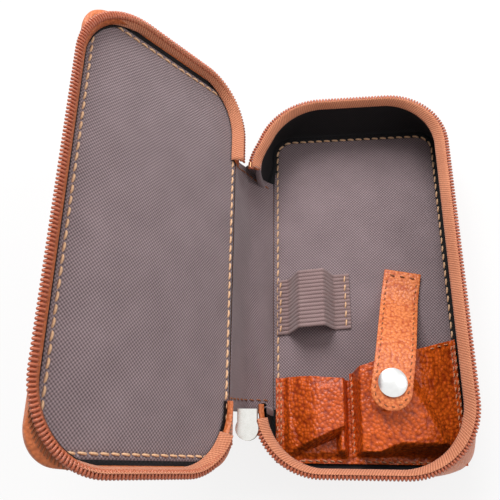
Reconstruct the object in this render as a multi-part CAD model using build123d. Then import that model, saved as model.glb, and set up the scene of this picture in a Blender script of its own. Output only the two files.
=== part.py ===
"""Razor travel case: a zip-round leather case lying open, with its lid folded back on a soft spine.

The frame stands at the middle of the tray's underside: +X points away from the spine, +Y runs along the
spine, +Z points up. Every length is in millimetres. The lid is drawn closed over the tray, then turned
back about the spine's fold line by lid_open.
"""

import math
import os

from build123d import *

# Sheet thicknesses
leather = 1.3  # outer leather
pocket_leather = 1.3  # softer leather of the pockets
strap_leather = 1.4
lining = 0.6  # woven lining, with its paste
board = 1.9  # stiffener board of the tray
lid_board = 1.4
padding = 1.4  # foam in the lid
tape = 0.7  # woven zip tape
elastic = 1.2
panel_fit = 0.2  # play between a panel's edge and the wall round it
seat_gap = 0.1  # play between pieces that are glued or sewn together

# Panels: the stitched lining panels in the tray and the lid are the same size
panel_width = 84.8
panel_length = 165.0
panel_radius = 10.5
lid_panel_shift = -5.05  # the lid's panel lies nearer to the spine

# Zip: the coil's outer edge runs round this outline
rim_width = 91.6
rim_length = 176.0
rim_radius = 29.0
rim_shift = -3.35
coil_width = 2.1
coil_height = 1.9
coil_gap = 0.3  # between the two coils when the case is shut
tooth_pitch = 1.5
tooth_depth = 0.9
tooth_share = 0.62  # part of the pitch that a tooth fills
tape_run = 3.1  # the tape slopes this far inwards from the coil
tape_drop = 3.1  # and this far away from the meeting level
rim_leather_back = 4.5  # the leather's turned edge stops this far inside the coil's edge
part_height = 32.0  # the level where the two coils meet
stop_length = 3.0

# Tray and lid
floor_top = leather + board + lining + panel_fit
wall_belly = 1.2  # how far the soft wall bulges at its middle
lid_depth = 5.1  # from the meeting level to the lid's lining
seam_round = 0.9  # rounding where the bottom leather turns into the wall
lid_round = 4.2  # rounding of the lid's cover at its edge
lid_board_back = 3.2  # the lid's board stops this far inside the panel's edge

# Spine
spine_front = -61.0
spine_back = 57.0
spine_lean = 10.7  # the spine's lining leans out this far at the fold
spine_rise = 16.0  # height of that fold above the tray's floor
spine_bow = 0.9
lid_open = 123.35
fold_out = 3.31  # the fold line lies this far outside the zip
fold_z = 35.15

# Slider and pull
slider_out = 1.45  # its middle lies this far outside the zip
slider_back = 19.1  # and this far from the zip's front end
shoulder_radius = 4.7
tail_width = 8.0
tail_length = 7.7
plate = 0.9
plate_gap = 0.35  # play between the coil and each plate
rail = 0.5
post_width = 2.0
post_length = 4.2
bridge_reach = 3.8
bridge_width = 2.6
bridge_thickness = 0.9
bridge_opening = 2.0
pull_wire = 1.2
ring_inside = 4.0
ring_length = 7.9
tab_width = 7.6
tab_thickness = 2.6
tab_length = 16.0
ring_back = 1.6  # from the slider's middle to the ring

# Strap and snap
strap_width = 17.0
strap_end_x = 20.0
strap_end_y = 4.8
strap_turn = 11.0  # degrees that the strap leans towards the spine
strap_length = 67.0
strap_sewn = 8.0
strap_slit = 0.4
strap_backing = 0.5
snap_from_tip = 11.5
cap_radius = 6.0
cap_height = 2.6
cap_rim = 0.7
socket_radius = 4.2
socket_height = 1.4
stud_radius = 2.0
stud_flange = 4.6
stud_plate = 0.6
stud_reach = 0.7
snap_play = 0.5

# Elastic loop
loop_left = -40.0
loop_right = -5.5
loop_foot_left = -33.5
loop_foot_right = -13.5
loop_front = -25.0
loop_width = 27.3
loop_skew = 3.0
loop_height = 12.6

# Pockets: the mouth faces +Y, and the margins are sewn flat
pocket_margin = 3.2
small_left = -41.0
small_right = -9.5
small_mouth = -45.5
small_height = 11.5
large_left = -5.5
large_right = 40.5
large_mouth = -41.5
large_height = 15.6
large_mouth_turn = 15.0  # degrees that its mouth rises towards the free side
pocket_foot = -80.5

# Worked-out levels
coil_low = part_height - coil_gap / 2 - coil_height
tape_top = coil_low + coil_height
tape_foot = tape_top - tape_drop
tape_slope = tape * math.hypot(tape_run, tape_drop) / tape_drop  # the tape's level width
lid_lining_low = part_height + lid_depth
lid_board_low = lid_lining_low + lining + padding
lid_leather_low = lid_board_low + lid_board
lid_seam = lid_leather_low + leather - lid_round
lid_spine_edge = lid_panel_shift - panel_width / 2 - panel_fit
wall = leather + lining
neck = coil_width + tape_run + lining  # the wall's inner face at the zip, inside the coil's edge
spine_side = -(rim_width / 2) + rim_shift
fold_x = min(spine_side, rim_shift + neck - panel_width / 2) - fold_out
slider_x = spine_side - slider_out
slider_y = slider_back - rim_length / 2
ring_y = slider_y + ring_back
snap_s = strap_length - snap_from_tip


def outline(level, grow, shift=0.0):
    """The lining panel's outline, grown by grow, at one level."""
    return Plane.XY.offset(level) * Pos(shift, 0) * RectangleRounded(
        panel_width + 2 * grow, panel_length + 2 * grow, panel_radius + grow
    )


def rim_outline(level, inset):
    """The outline of the coil's outer edge, moved inwards by inset, at one level."""
    return Plane.XY.offset(level) * Pos(rim_shift, 0) * RectangleRounded(
        rim_width - 2 * inset, rim_length - 2 * inset, rim_radius - inset
    )


def spine_gap(low, high):
    """The block that opens a wall or a ring where the spine stands."""
    depth = rim_width / 4
    across = (spine_front + spine_back) / 2
    return Pos(spine_side - 2 * wall + depth / 2, across, (low + high) / 2) * Box(
        depth, spine_back - spine_front, high - low
    )


def wall_skin(levels, distance, shift=0.0):
    """One face of a soft wall as a solid, at a distance outside the lining's inner face.

    levels lists the wall's sections from the panel to the zip: the level, how far the section has gone from
    the panel's outline (0) to the zip's (1), and how far it bulges.
    """
    sections = []
    for level, share, belly in levels:
        grow = distance + belly + panel_fit * (1 - share)
        width = panel_width + share * (rim_width - 2 * neck - panel_width)
        length = panel_length + share * (rim_length - 2 * neck - panel_length)
        radius = panel_radius + share * (rim_radius - neck - panel_radius)
        centre = shift + share * (rim_shift - shift)
        shape = RectangleRounded(width + 2 * grow, length + 2 * grow, radius + grow)
        sections.append(Plane.XY.offset(level) * Pos(centre, 0) * shape)
    return loft(sections, ruled=len(levels) < 4)


def wall_shell(levels, inner, outer, shift=0.0, turned=None):
    """A soft wall between two distances, open at the spine, with the turned edge under the tape if given."""
    low, high = sorted((levels[0][0], levels[-1][0]))
    shell = wall_skin(levels, outer, shift) - wall_skin(levels, inner, shift)
    if turned is not None:
        shell += turned
    return shell - spine_gap(low - tape_drop, high + tape_drop)


def tray_wall_levels():
    """Sections of the tray's wall: upright beside the floor, then bulging up to the zip."""
    middle = (floor_top + tape_foot) / 2
    return [(leather, 0.0, 0.0), (floor_top, 0.0, 0.0), (middle, 0.5, wall_belly), (tape_foot, 1.0, 0.0)]


def lid_wall_levels():
    """Sections of the lid's wall: upright beside the lining, then drawn in to the zip."""
    return [
        (lid_seam, 0.0, 0.0),
        (lid_lining_low - seat_gap, 0.0, 0.0),
        (2 * part_height - tape_foot, 1.0, 0.0),
    ]


def rim_sides(inset):
    """Half the straight sides and the corner radius of the rim outline, moved inwards by inset."""
    radius = rim_radius - inset
    return rim_width / 2 - rim_radius, rim_length / 2 - rim_radius, radius


def rim_point(distance, inset):
    """The point on the rim outline at an arc length, counted from the middle of the spine side.

    The length is measured on the coil's middle line and runs past the back corner first. The point is then
    moved inwards from the coil's outer edge by inset.
    """
    half_x, half_y, radius = rim_sides(coil_width / 2)
    quarter = math.pi / 2 * radius
    runs = [half_y, quarter, 2 * half_x, quarter, 2 * half_y, quarter, 2 * half_x, quarter, half_y]
    corners = [(-half_x, half_y), (half_x, half_y), (half_x, -half_y), (-half_x, -half_y)]
    reach = rim_radius - inset
    turn = 0
    for index, run in enumerate(runs):
        if distance <= run or index == len(runs) - 1:
            break
        distance -= run
        turn += index % 2
    if index % 2:
        angle = math.pi - turn * math.pi / 2 - distance / radius
        x, y = corners[turn]
        return x + reach * math.cos(angle) + rim_shift, y + reach * math.sin(angle)
    angle = math.pi - turn * math.pi / 2
    along = angle - math.pi / 2
    start = {0: (-half_x, 0.0), 4: corners[3]}.get(turn) or corners[turn - 1]
    if index == len(runs) - 1:
        start = corners[3]
    return (
        start[0] + reach * math.cos(angle) + distance * math.cos(along) + rim_shift,
        start[1] + reach * math.sin(angle) + distance * math.sin(along),
    )


def spine_distance(y):
    """The arc length from the middle of the spine side to the height y on the same side."""
    _, half_y, radius = rim_sides(coil_width / 2)
    past = max(abs(y) - half_y, 0.0)
    return min(abs(y), half_y) + radius * math.asin(min(past / radius, 1.0))


def rim_total():
    """The length of the coil's whole middle line."""
    half_x, half_y, radius = rim_sides(coil_width / 2)
    return 4 * (half_x + half_y) + 2 * math.pi * radius


def zip_coil(low, back, front):
    """The row of teeth as one toothed band, from the spine's back end round to its front end."""
    start = spine_distance(back)
    count = int((rim_total() - spine_distance(front) - start) / tooth_pitch)
    crest = []
    for tooth in range(count):
        begin = start + tooth * tooth_pitch
        end = begin + tooth_share * tooth_pitch
        crest += [rim_point(begin, tooth_depth), rim_point(begin, 0.0)]
        crest += [rim_point(end, 0.0), rim_point(end, tooth_depth)]
    inner_stations = [start + 2 * k * tooth_pitch for k in range(count // 2)]
    inner_stations.append(start + (count - 1 + tooth_share) * tooth_pitch)
    inner = [rim_point(s, coil_width - seat_gap) for s in reversed(inner_stations)]
    band = make_face(Polyline(*crest, *inner, close=True))
    return extrude(Plane.XY.offset(low) * band, coil_height)


def slope_skin(level_top, level_foot, outwards, top_inset):
    """A solid whose side follows the tape's slope, moved level outwards from the tape's outer face."""
    share = (top_inset - coil_width) / tape_run
    level = level_top + share * (level_foot - level_top)
    foot_inset = coil_width + tape_run
    return loft(
        [rim_outline(level, top_inset - outwards), rim_outline(level_foot, foot_inset - outwards)], ruled=True
    )


def zip_tape(level_top, level_foot):
    """The woven tape, sloping round the rim from the coil to the top of the wall."""
    ring = slope_skin(level_top, level_foot, 0.0, coil_width)
    ring -= slope_skin(level_top, level_foot, -tape_slope, coil_width)
    low, high = sorted((level_top, level_foot))
    return ring - spine_gap(low, high)


def slider_room():
    """The room that the slider's upper plate needs in the lid's tape once the case is shut."""
    length = tail_length + shoulder_radius + 2 * plate_gap
    height = plate + 2 * plate_gap
    middle = slider_y + (tail_length - shoulder_radius) / 2
    level = coil_low + coil_height + height / 2
    return Pos(slider_x, middle, level) * Box(tail_width + 2 * plate_gap, length, height)


def rim_turn(level_top, level_foot):
    """The leather's edge, turned outwards under the tape."""
    return slope_skin(level_top, level_foot, leather * tape_slope / tape, rim_leather_back)


def panel(level, thickness, grow, shift=0.0):
    """A flat panel cut to the lining's outline, grown by grow."""
    return extrude(outline(level, grow, shift), thickness)


def tray_bottom():
    """The tray's bottom leather, rounded where it turns into the wall."""
    sheet = panel(0.0, leather, panel_fit + wall)
    return fillet(sheet.edges().group_by(Axis.Z)[0], seam_round)


def lid_cover():
    """The lid's cover: a shallow shell of leather, rounded round its edge and open to the spine."""
    inside = lid_leather_low - lid_seam
    shell = panel(lid_seam, inside + leather, panel_fit + wall, lid_panel_shift)
    shell = fillet(shell.edges().group_by(Axis.Z)[-1], lid_round - seat_gap)
    hollow = panel(lid_seam, inside, panel_fit + lining, lid_panel_shift)
    shell -= fillet(hollow.edges().group_by(Axis.Z)[-1], inside - seat_gap)
    depth = 2 * (wall + lid_round)
    middle = (spine_front + spine_back) / 2
    return shell - Pos(lid_spine_edge - depth / 2, middle, lid_leather_low) * Box(
        depth, spine_back - spine_front, 4 * lid_round
    )


def strip(stations, inner, outer):
    """A bent sheet across the spine: the band between two distances outside a curve of (x, z) stations."""
    normals = []
    for k, _ in enumerate(stations):
        before, after = stations[max(k - 1, 0)], stations[min(k + 1, len(stations) - 1)]
        run = Vector(after[0] - before[0], after[1] - before[1]).normalized()
        normals.append((-run.Y, run.X))
    sides = [
        [(x + n[0] * d, z + n[1] * d) for (x, z), n in zip(stations, normals)] for d in (inner, outer)
    ]
    first, second = Spline(*sides[0]), Spline(*sides[1])
    ends = Line(sides[0][0], sides[1][0]) + Line(sides[0][-1], sides[1][-1])
    section = Plane.XZ * make_face(first + second + ends)
    return Pos(0, spine_back, 0) * extrude(section, spine_back - spine_front)


def spine_stations():
    """Stations of the spine lining's inner face: from the tray's floor to the fold, then on to the lid."""
    foot = (-panel_width / 2 - panel_fit, floor_top)
    fold = (foot[0] - spine_lean, foot[1] + spine_rise)
    middle = ((foot[0] + fold[0]) / 2 - spine_bow, (foot[1] + fold[1]) / 2 + spine_bow)
    lid_edge = opened(lid_spine_edge, lid_lining_low)
    between = ((fold[0] + lid_edge[0]) / 2 - spine_bow / 2, (fold[1] + lid_edge[1]) / 2)
    return [foot, middle, fold], [fold, between, lid_edge]


def opened(x, z):
    """Where a point of the closed lid lies once the lid is turned open."""
    angle = math.radians(-lid_open)
    dx, dz = x - fold_x, z - fold_z
    return (
        fold_x + dx * math.cos(angle) + dz * math.sin(angle),
        fold_z - dx * math.sin(angle) + dz * math.cos(angle),
    )


def fold_leather(tray_part):
    """The spine's leather from the top of the tray's part to the edge of the lid's cover."""
    fold = tray_part[-1]
    run = Vector(fold[0] - tray_part[0][0], fold[1] - tray_part[0][1]).normalized()
    away = lining + 2 * seat_gap
    low = (fold[0] - run.Y * away, fold[1] + run.X * away + 2 * seat_gap)
    edge = opened(lid_spine_edge - leather / 2, lid_leather_low)
    middle = ((low[0] + edge[0]) / 2 - spine_bow, (low[1] + edge[1]) / 2)
    return strip([low, middle, edge], 0.0, leather)


def slider():
    """The slider: two shield-shaped plates on a post, guide rails on its tail and a bridge outside."""
    plan = Circle(shoulder_radius) + Pos(0, tail_length / 2) * Rectangle(tail_width, tail_length)
    low = coil_low - plate_gap - plate
    high = coil_low + coil_height + plate_gap
    body = Pos(0, 0, low) * extrude(plan, plate) + Pos(0, 0, high) * extrude(plan, plate)
    nose = -shoulder_radius + post_length / 2 + plate
    body += Pos(0, nose, low) * extrude(Ellipse(post_width / 2, post_length / 2), high - low + plate)
    rail_length = tail_length - shoulder_radius
    top_rail = high - coil_low - coil_height / 2
    for side in (-1, 1):
        x = side * (tail_width - rail) / 2
        y = tail_length - rail_length / 2
        body += Pos(x, y, high - top_rail / 2) * Box(rail, rail_length, top_rail)
    bridge_y = ring_y - slider_y
    arch = Rectangle(2 * bridge_reach, 2 * (bridge_opening + bridge_thickness))
    window = Rectangle(2 * (bridge_reach - bridge_thickness), 2 * bridge_opening)
    section = Plane.YZ * (fillet(arch.vertices(), bridge_thickness) - window)
    bridge = Pos(-bridge_width / 2, bridge_y, low) * extrude(section, bridge_width)
    body += bridge & (Pos(0, bridge_y, low - 2 * bridge_opening) * Box(
        2 * bridge_width, 4 * bridge_reach, 4 * bridge_opening
    ))
    return Pos(slider_x, slider_y, 0) * body


def pull_axis_height():
    """The height of the pull ring's bar, hanging inside the slider's bridge."""
    return coil_low - plate_gap - plate - bridge_opening / 2


def pull_ring():
    """The wire ring that hangs in the slider's bridge."""
    bend = pull_wire * 1.2
    plan = Plane.XZ * RectangleRounded(ring_inside, ring_length, bend)
    path = plan.face().outer_wire()
    start = Plane(origin=path @ 0, z_dir=path % 0)
    ring = sweep(start * Circle(pull_wire / 2), path=path)
    return Pos(slider_x, ring_y, pull_axis_height() - ring_length / 2) * ring


def pull_tab():
    """The leather tab, folded through the ring and sewn to itself."""
    bar = pull_axis_height() - ring_length
    half = tab_thickness / 2
    play = pull_wire + 2 * seat_gap
    side = Pos(0, -tab_length / 2) * Rectangle(tab_thickness, tab_length) + Circle(half)
    sheet = extrude(Plane.YZ * (side - Rectangle(play, play)), tab_width / 2, both=True)
    throat = Rectangle(ring_inside - pull_wire - 4 * seat_gap, 2 * tab_thickness)
    body = Pos(0, -(tab_length + tab_thickness) / 2) * RectangleRounded(
        tab_width, tab_length - tab_thickness, tab_width / 4
    )
    sheet &= extrude(Plane.XZ * (throat + body), tab_thickness, both=True)
    return Pos(slider_x, ring_y, bar) * sheet


def strap_frame():
    """The strap's own frame at its sewn end: +X runs along the strap, +Z points up."""
    return Location((strap_end_x, strap_end_y, 0), (0, 0, -90 - strap_turn))


def strap_heights():
    """Stations (along the strap, height) of its underside: flat where it is sewn, arched to the snap."""
    flat = floor_top + seat_gap
    crest = floor_top + large_height + pocket_leather + socket_height + 2 * seat_gap
    rise = crest - flat
    return [
        (strap_sewn + strap_slit, flat),
        (strap_length * 0.24, flat + 0.10 * rise),
        (strap_length * 0.45, flat + 0.54 * rise),
        (strap_length * 0.64, flat + 0.88 * rise),
        (snap_s, flat + rise),
        (strap_length, flat + 0.95 * rise),
    ]


def strap_sheet(low, thickness):
    """A sheet that follows the strap, its end rounded round the snap."""
    stations = [(s, z + low) for s, z in strap_heights()]
    above = [(s, z + thickness) for s, z in stations]
    ends = Line(stations[0], above[0]) + Line(stations[-1], above[-1])
    section = Plane.XZ * make_face(Spline(*stations) + Spline(*above) + ends)
    sheet = extrude(section, strap_width / 2, both=True)
    square = strap_length - strap_width / 2
    plan = Pos(square / 2, 0) * Rectangle(square, strap_width) + Pos(square, 0) * Circle(strap_width / 2)
    return strap_frame() * (sheet & extrude(plan, 2 * part_height))


def strap_root():
    """The strap's sewn end, flat on the tray's lining."""
    block = Pos(strap_sewn / 2, 0, floor_top + strap_leather / 2) * Box(
        strap_sewn, strap_width, strap_leather
    )
    return strap_frame() * block


def snap_level():
    """The height of the strap's underside at the snap."""
    return strap_heights()[4][1]


def snap_place(level):
    """The place of the snap's axis at one level."""
    return strap_frame() * Pos(snap_s, 0, level)


def snap_cap():
    """The snap's domed cap on top of the strap."""
    top = snap_level() + strap_backing + strap_leather + 2 * seat_gap
    dome = cap_height - cap_rim
    sphere = (cap_radius**2 + dome**2) / (2 * dome)
    half_way = cap_height - sphere + math.sqrt(sphere**2 - (cap_radius / 2) ** 2)
    edge = Polyline((0, cap_height), (0, 0), (cap_radius, 0), (cap_radius, cap_rim))
    arc = ThreePointArc((cap_radius, cap_rim), (cap_radius / 2, half_way), (0, cap_height))
    return snap_place(top) * revolve(Plane.XZ * make_face(edge + arc), Axis.Z)


def snap_socket():
    """The snap's socket under the strap: a ring with a raised lip round its mouth."""
    low = snap_level() - socket_height
    ring = Cylinder(socket_radius, socket_height) - Cylinder(stud_radius + snap_play, socket_height)
    ring = fillet(ring.edges().group_by(Axis.Z)[0], socket_height / 4)
    return snap_place(low + socket_height / 2) * ring


def snap_stud(grow=0.0):
    """The snap's stud, grown by grow: a plate under the pocket's leather and a post into the socket."""
    seat = floor_top + large_height - seat_gap
    post_height = stud_plate + pocket_leather + stud_reach
    post = Pos(0, 0, post_height / 2) * Cylinder(stud_radius + grow, post_height)
    post = fillet(post.edges().group_by(Axis.Z)[-1], stud_reach / 2)
    flange = Pos(0, 0, stud_plate / 2) * Cylinder(stud_flange + grow, stud_plate + 2 * grow)
    return snap_place(seat - stud_plate) * (post + flange)


def elastic_loop():
    """The elastic loop: sewn flat at both ends and arched between, for a razor's handle."""
    low = floor_top + seat_gap
    middle = (loop_foot_left + loop_foot_right) / 2
    quarter = (loop_foot_right - loop_foot_left) / 4

    def arch(rise, spread):
        """One face of the arch over the two feet."""
        return Spline(
            (loop_foot_left - spread, low + rise),
            (middle - 1.35 * quarter - spread, low + rise + loop_height * 0.72),
            (middle, low + rise + loop_height),
            (middle + 1.35 * quarter + spread, low + rise + loop_height * 0.72),
            (loop_foot_right + spread, low + rise),
        )

    inner, outer = arch(0.0, 0.0), arch(elastic, elastic)
    ends = (
        Line((loop_foot_left - elastic, low + elastic), (loop_left, low + elastic))
        + Line((loop_left, low + elastic), (loop_left, low))
        + Line((loop_left, low), (loop_foot_left, low))
        + Line((loop_foot_right, low), (loop_right, low))
        + Line((loop_right, low), (loop_right, low + elastic))
        + Line((loop_right, low + elastic), (loop_foot_right + elastic, low + elastic))
    )
    band = extrude(Plane.XZ * make_face(inner + outer + ends), -loop_width)
    lean = math.degrees(math.atan2(loop_skew, loop_right - loop_left))
    pivot = Axis((loop_left, loop_front, 0), (0, 0, 1))
    return (Pos(0, loop_front, 0) * band).rotate(pivot, lean)


def pocket_section(y, left, right, height, lean, inset, turn):
    """One arched section of a pocket, its crown nearer to the left side by lean and turned about its left."""
    low = floor_top + seat_gap
    base = low - (2 * inset)
    span = right - left - 2 * inset
    start = left + inset
    crown = low + height - inset
    shoulder = low + height * 0.74 - inset
    arch = Spline(
        (start, base),
        (start + span * 0.06, (base + shoulder) / 2),
        (start + span * (0.22 - lean / 2), shoulder + (crown - shoulder) * 0.55),
        (start + span * (0.5 - lean), crown),
        (start + span * (0.80 - lean / 2), shoulder),
        (start + span, base),
    )
    face = make_face(arch + Line((start + span, base), (start, base)))
    stretch = 1 / math.cos(math.radians(turn))
    place = Pos(left, y, 0) * Rot(0, 0, turn) * Pos(-left * stretch, 0, 0)
    upright = Plane((0, 0, 0), x_dir=(1, 0, 0), z_dir=(0, -1, 0)) * face
    return place * scale(upright, (stretch, 1, 1))


def pocket(left, right, mouth, height, lean, turn=0.0):
    """A bellows pocket: an arched front that is open at its mouth and sewn flat round the other sides."""
    foot = pocket_foot + pocket_margin
    inner_left, inner_right = left + pocket_margin, right - pocket_margin
    run = mouth - foot
    # each section's place along the pocket, share of the height, inset of its sides and turn
    shape = [
        (mouth, 1.0, 0.0, turn),
        (foot + run * 0.45, 0.94, 0.0, turn / 3),
        (foot, 0.42, 1.5, 0.0),
    ]

    def skin(inset):
        """One face of the pocket's front as a solid, its sewn end drawn in by inset."""
        sections = []
        for y, share, pinch, section_turn in shape:
            place = y + inset if y == foot else y
            sides = (inner_left + pinch, inner_right - pinch)
            sections.append(pocket_section(place, *sides, height * share, lean, inset, section_turn))
        return loft(sections)

    front = skin(0.0) - skin(pocket_leather)
    low = floor_top + seat_gap
    slope = math.tan(math.radians(turn))
    near, far = mouth - pocket_margin * slope, mouth + (right - inner_left) * slope
    corners = [(left, pocket_foot), (right, pocket_foot), (right, far), (left, near)]
    sheet = extrude(Plane.XY.offset(low) * make_face(Polyline(*corners, close=True)), pocket_leather)
    keep = outline(low, -panel_fit - pocket_margin / 4)
    sheet &= extrude(keep, pocket_leather)
    opening = skin(pocket_leather)
    return front + (sheet - opening)


def end_stop(low, start):
    """The crimped stop that ends the teeth at the spine's back end."""
    across = (coil_width * 0.1, coil_width - seat_gap)
    points = [rim_point(start + seat_gap, inset) for inset in across]
    points += [rim_point(start + stop_length - 2 * seat_gap, inset) for inset in reversed(across)]
    return extrude(Plane.XY.offset(low) * make_face(Polyline(*points, close=True)), coil_height)


def lid_turn(shape):
    """Turn a piece of the closed lid to where it lies when the case is open."""
    return shape.rotate(Axis((fold_x, 0, fold_z), (0, 1, 0)), -lid_open)


def tray_parts():
    """The tray's shell, its zip and what is sewn into it."""
    tray_front = slider_y + shoulder_radius / 2
    near_wall, to_lid = spine_stations()
    levels = tray_wall_levels()
    turned = rim_turn(tape_top, tape_foot) - slope_skin(tape_top, tape_foot, 0.0, rim_leather_back)
    stud = snap_stud()
    return {
        "base_bottom_leather": tray_bottom(),
        "base_board": panel(leather, board, -panel_fit),
        "base_floor_lining": panel(leather + board + panel_fit, lining, 0.0),
        "base_wall_leather": wall_shell(levels, lining, wall, turned=turned),
        "base_wall_lining": wall_shell(levels, 0.0, lining - seat_gap / 2),
        "base_zip_tape": zip_tape(tape_top, tape_foot),
        "base_zip_coil": zip_coil(coil_low, spine_back, tray_front),
        "zip_end_stop": end_stop(coil_low, spine_distance(spine_back) - stop_length),
        "spine_tray_lining": strip(near_wall, 0.0, lining),
        "spine_tray_leather": strip(near_wall, lining + 2 * seat_gap, lining + 2 * seat_gap + leather),
        "spine_fold_lining": strip(to_lid, 0.0, lining),
        "spine_fold_leather": fold_leather(near_wall),
        "zip_slider": slider(),
        "elastic_loop": elastic_loop(),
        "small_pocket": pocket(small_left, small_right, small_mouth, small_height, 0.0),
        "large_pocket": pocket(
            large_left, large_right, large_mouth, large_height, 0.12, large_mouth_turn
        ) - snap_stud(seat_gap / 2),
        "snap_stud": stud,
        "strap_sewn_end": strap_root(),
    }


def lid_parts():
    """The lid's shell and zip, drawn shut over the tray."""
    top, foot = 2 * part_height - tape_top, 2 * part_height - tape_foot
    coil_level = 2 * part_height - coil_low - coil_height
    lid_front = slider_y - shoulder_radius - coil_width
    levels = lid_wall_levels()
    turned = rim_turn(top, foot) - slope_skin(top, foot, 0.0, rim_leather_back)
    shift = lid_panel_shift
    return {
        "lid_top_leather": lid_cover(),
        "lid_board": panel(lid_board_low, lid_board, -lid_board_back, shift),
        "lid_padding": panel(lid_lining_low + lining, padding, -panel_fit, shift),
        "lid_lining": panel(lid_lining_low, lining, -panel_fit, shift),
        "lid_wall_leather": wall_shell(levels, lining, wall, shift, turned),
        "lid_wall_lining": wall_shell(levels, 0.0, lining - seat_gap / 2, shift),
        "lid_zip_tape": zip_tape(top, foot) - slider_room(),
        "lid_zip_coil": zip_coil(coil_level, spine_back, lid_front),
    }


def strap_parts():
    """The free strap with its snap."""
    cap, socket = snap_cap(), snap_socket()
    return {
        "strap_lining": strap_sheet(0.0, strap_backing) - socket,
        "strap_leather": strap_sheet(strap_backing + seat_gap, strap_leather) - cap,
        "snap_cap": cap,
        "snap_socket": socket,
    }


def build():
    """Every node of the case, by name."""
    parts = tray_parts()
    parts["pull_ring"] = pull_ring()
    parts["pull_tab"] = pull_tab()
    parts.update(strap_parts())
    parts.update({name: lid_turn(shape) for name, shape in lid_parts().items()})
    return parts


os.makedirs("parts", exist_ok=True)
for node, shape in build().items():
    export_step(shape, f"parts/{node}.step")
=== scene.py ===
"""Looks of the razor travel case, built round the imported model.

Shapes are written in millimetres in the row frame and become metres when a mesh is made. The lid's pieces are
written as if the lid were shut and are then turned open about the fold line.
"""

import logging
import math
from dataclasses import dataclass, field
from enum import Enum

import bpy
import numpy as np
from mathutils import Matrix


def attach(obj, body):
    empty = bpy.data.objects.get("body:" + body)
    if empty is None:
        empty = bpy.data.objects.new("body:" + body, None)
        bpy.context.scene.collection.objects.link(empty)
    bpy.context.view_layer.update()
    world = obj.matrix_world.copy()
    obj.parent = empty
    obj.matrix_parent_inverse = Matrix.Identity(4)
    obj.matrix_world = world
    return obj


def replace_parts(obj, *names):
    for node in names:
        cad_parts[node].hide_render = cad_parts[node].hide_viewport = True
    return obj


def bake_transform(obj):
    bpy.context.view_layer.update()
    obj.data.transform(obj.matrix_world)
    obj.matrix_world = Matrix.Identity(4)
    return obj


LOG = logging.getLogger("case")
Array = np.ndarray
MM = 0.001  # metres in a millimetre

# Levels and places that several pieces share.
FLOOR_TOP = 4.0  # face of the tray's floor lining
WALL_TOP = 28.75  # where the tray's walls meet the zip's tape
CLOSE_LEVEL = 32.0  # where the two halves of the zip meet when the lid is shut
LID_OPEN = math.radians(123.35)  # how far the lid is turned from shut
FOLD = (-52.46, 35.15)  # x and z of the fold line
SPINE_BACK = 51.0  # y where the tray's walls end at the back of the spine
LID_BACK = 49.5  # the same for the lid's walls
SPINE_FRONT = -59.0  # y where the walls of both end at the front of the spine
TRAY_ZIP_STOP, LID_ZIP_STOP = -67.0, -74.5  # y where each half of the zip ends
TAPE_EDGE = 2.2  # how far inside the coil's outer edge the tape's woven edge lies
DRAWN_BY = 3.2  # how far the tray's rim is drawn out towards the spine near its back end
WALL_ROWS = 14  # points up a tray wall
TAPE_ROWS = 14  # points across a tape


class Body(str, Enum):
    """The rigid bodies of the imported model."""

    TRAY = "tray"
    LID = "lid"
    STRAP = "strap"
    PULL = "pull"


# ---------------------------------------------------------------- shapes


def smooth(value: Array) -> Array:
    """Returns the ramp 3t^2 - 2t^3, level at 0 and at 1 and clipped outside."""
    t = np.clip(value, 0.0, 1.0)
    return t * t * (3.0 - 2.0 * t)


def unit(vectors: Array) -> Array:
    """Returns the vectors (..., 3) divided by their lengths."""
    return vectors / np.maximum(np.linalg.norm(vectors, axis=-1, keepdims=True), 1e-12)


def opened(points: Array) -> Array:
    """Returns points of the shut lid where they lie once it is turned open about the fold line.

    Args:
        points: an array whose last axis holds x, y, z.

    Returns:
        The turned points, in the same shape.
    """
    dx, dz = points[..., 0] - FOLD[0], points[..., 2] - FOLD[1]
    c, s = math.cos(-LID_OPEN), math.sin(-LID_OPEN)
    return np.stack([FOLD[0] + dx * c + dz * s, points[..., 1], FOLD[1] - dx * s + dz * c], axis=-1)


def opened_way(vectors: Array) -> Array:
    """Returns directions of the shut lid as they point once it is turned open."""
    return opened(vectors) - opened(np.zeros((1, 3)))


def upward(points: Array) -> Array:
    """Returns the direction straight up at each point."""
    return np.broadcast_to([0.0, 0.0, 1.0], points.shape)


def ripple(x: Array, y: Array, size: float) -> Array:
    """Returns a soft unevenness: three crossing sine waves of unlike lengths, of a given height."""
    waves = np.sin(x / 7.3 + y / 17.0) + np.sin(y / 9.1 - x / 13.0 + 1.7) + np.sin((x + y) / 5.2 + 0.6) * 0.5
    return size * waves / 2.5


def curve_through(knots: Array, count: int) -> Array:
    """Returns count points on the smooth curve through the knots, by cubic pieces with level-chord tangents.

    Args:
        knots: points (k, dims).
        count: number of points wanted, evenly spread over the knots.

    Returns:
        Points (count, dims).
    """
    knots = np.asarray(knots, float)
    tangents = np.gradient(knots, axis=0)
    at = np.linspace(0, len(knots) - 1, count)
    k = np.minimum(at.astype(int), len(knots) - 2)
    t = (at - k)[:, None]
    a, b = knots[k], knots[k + 1]
    return (
        (2 * t**3 - 3 * t**2 + 1) * a
        + (t**3 - 2 * t**2 + t) * tangents[k]
        + (3 * t**2 - 2 * t**3) * b
        + (t**3 - t**2) * tangents[k + 1]
    )


def lengths(path: Array) -> Array:
    """Returns the length run up to each point of a path (n, dims): the sum of its steps."""
    steps = np.linalg.norm(np.diff(path, axis=0), axis=1)
    return np.concatenate([[0.0], np.cumsum(steps)])


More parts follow.
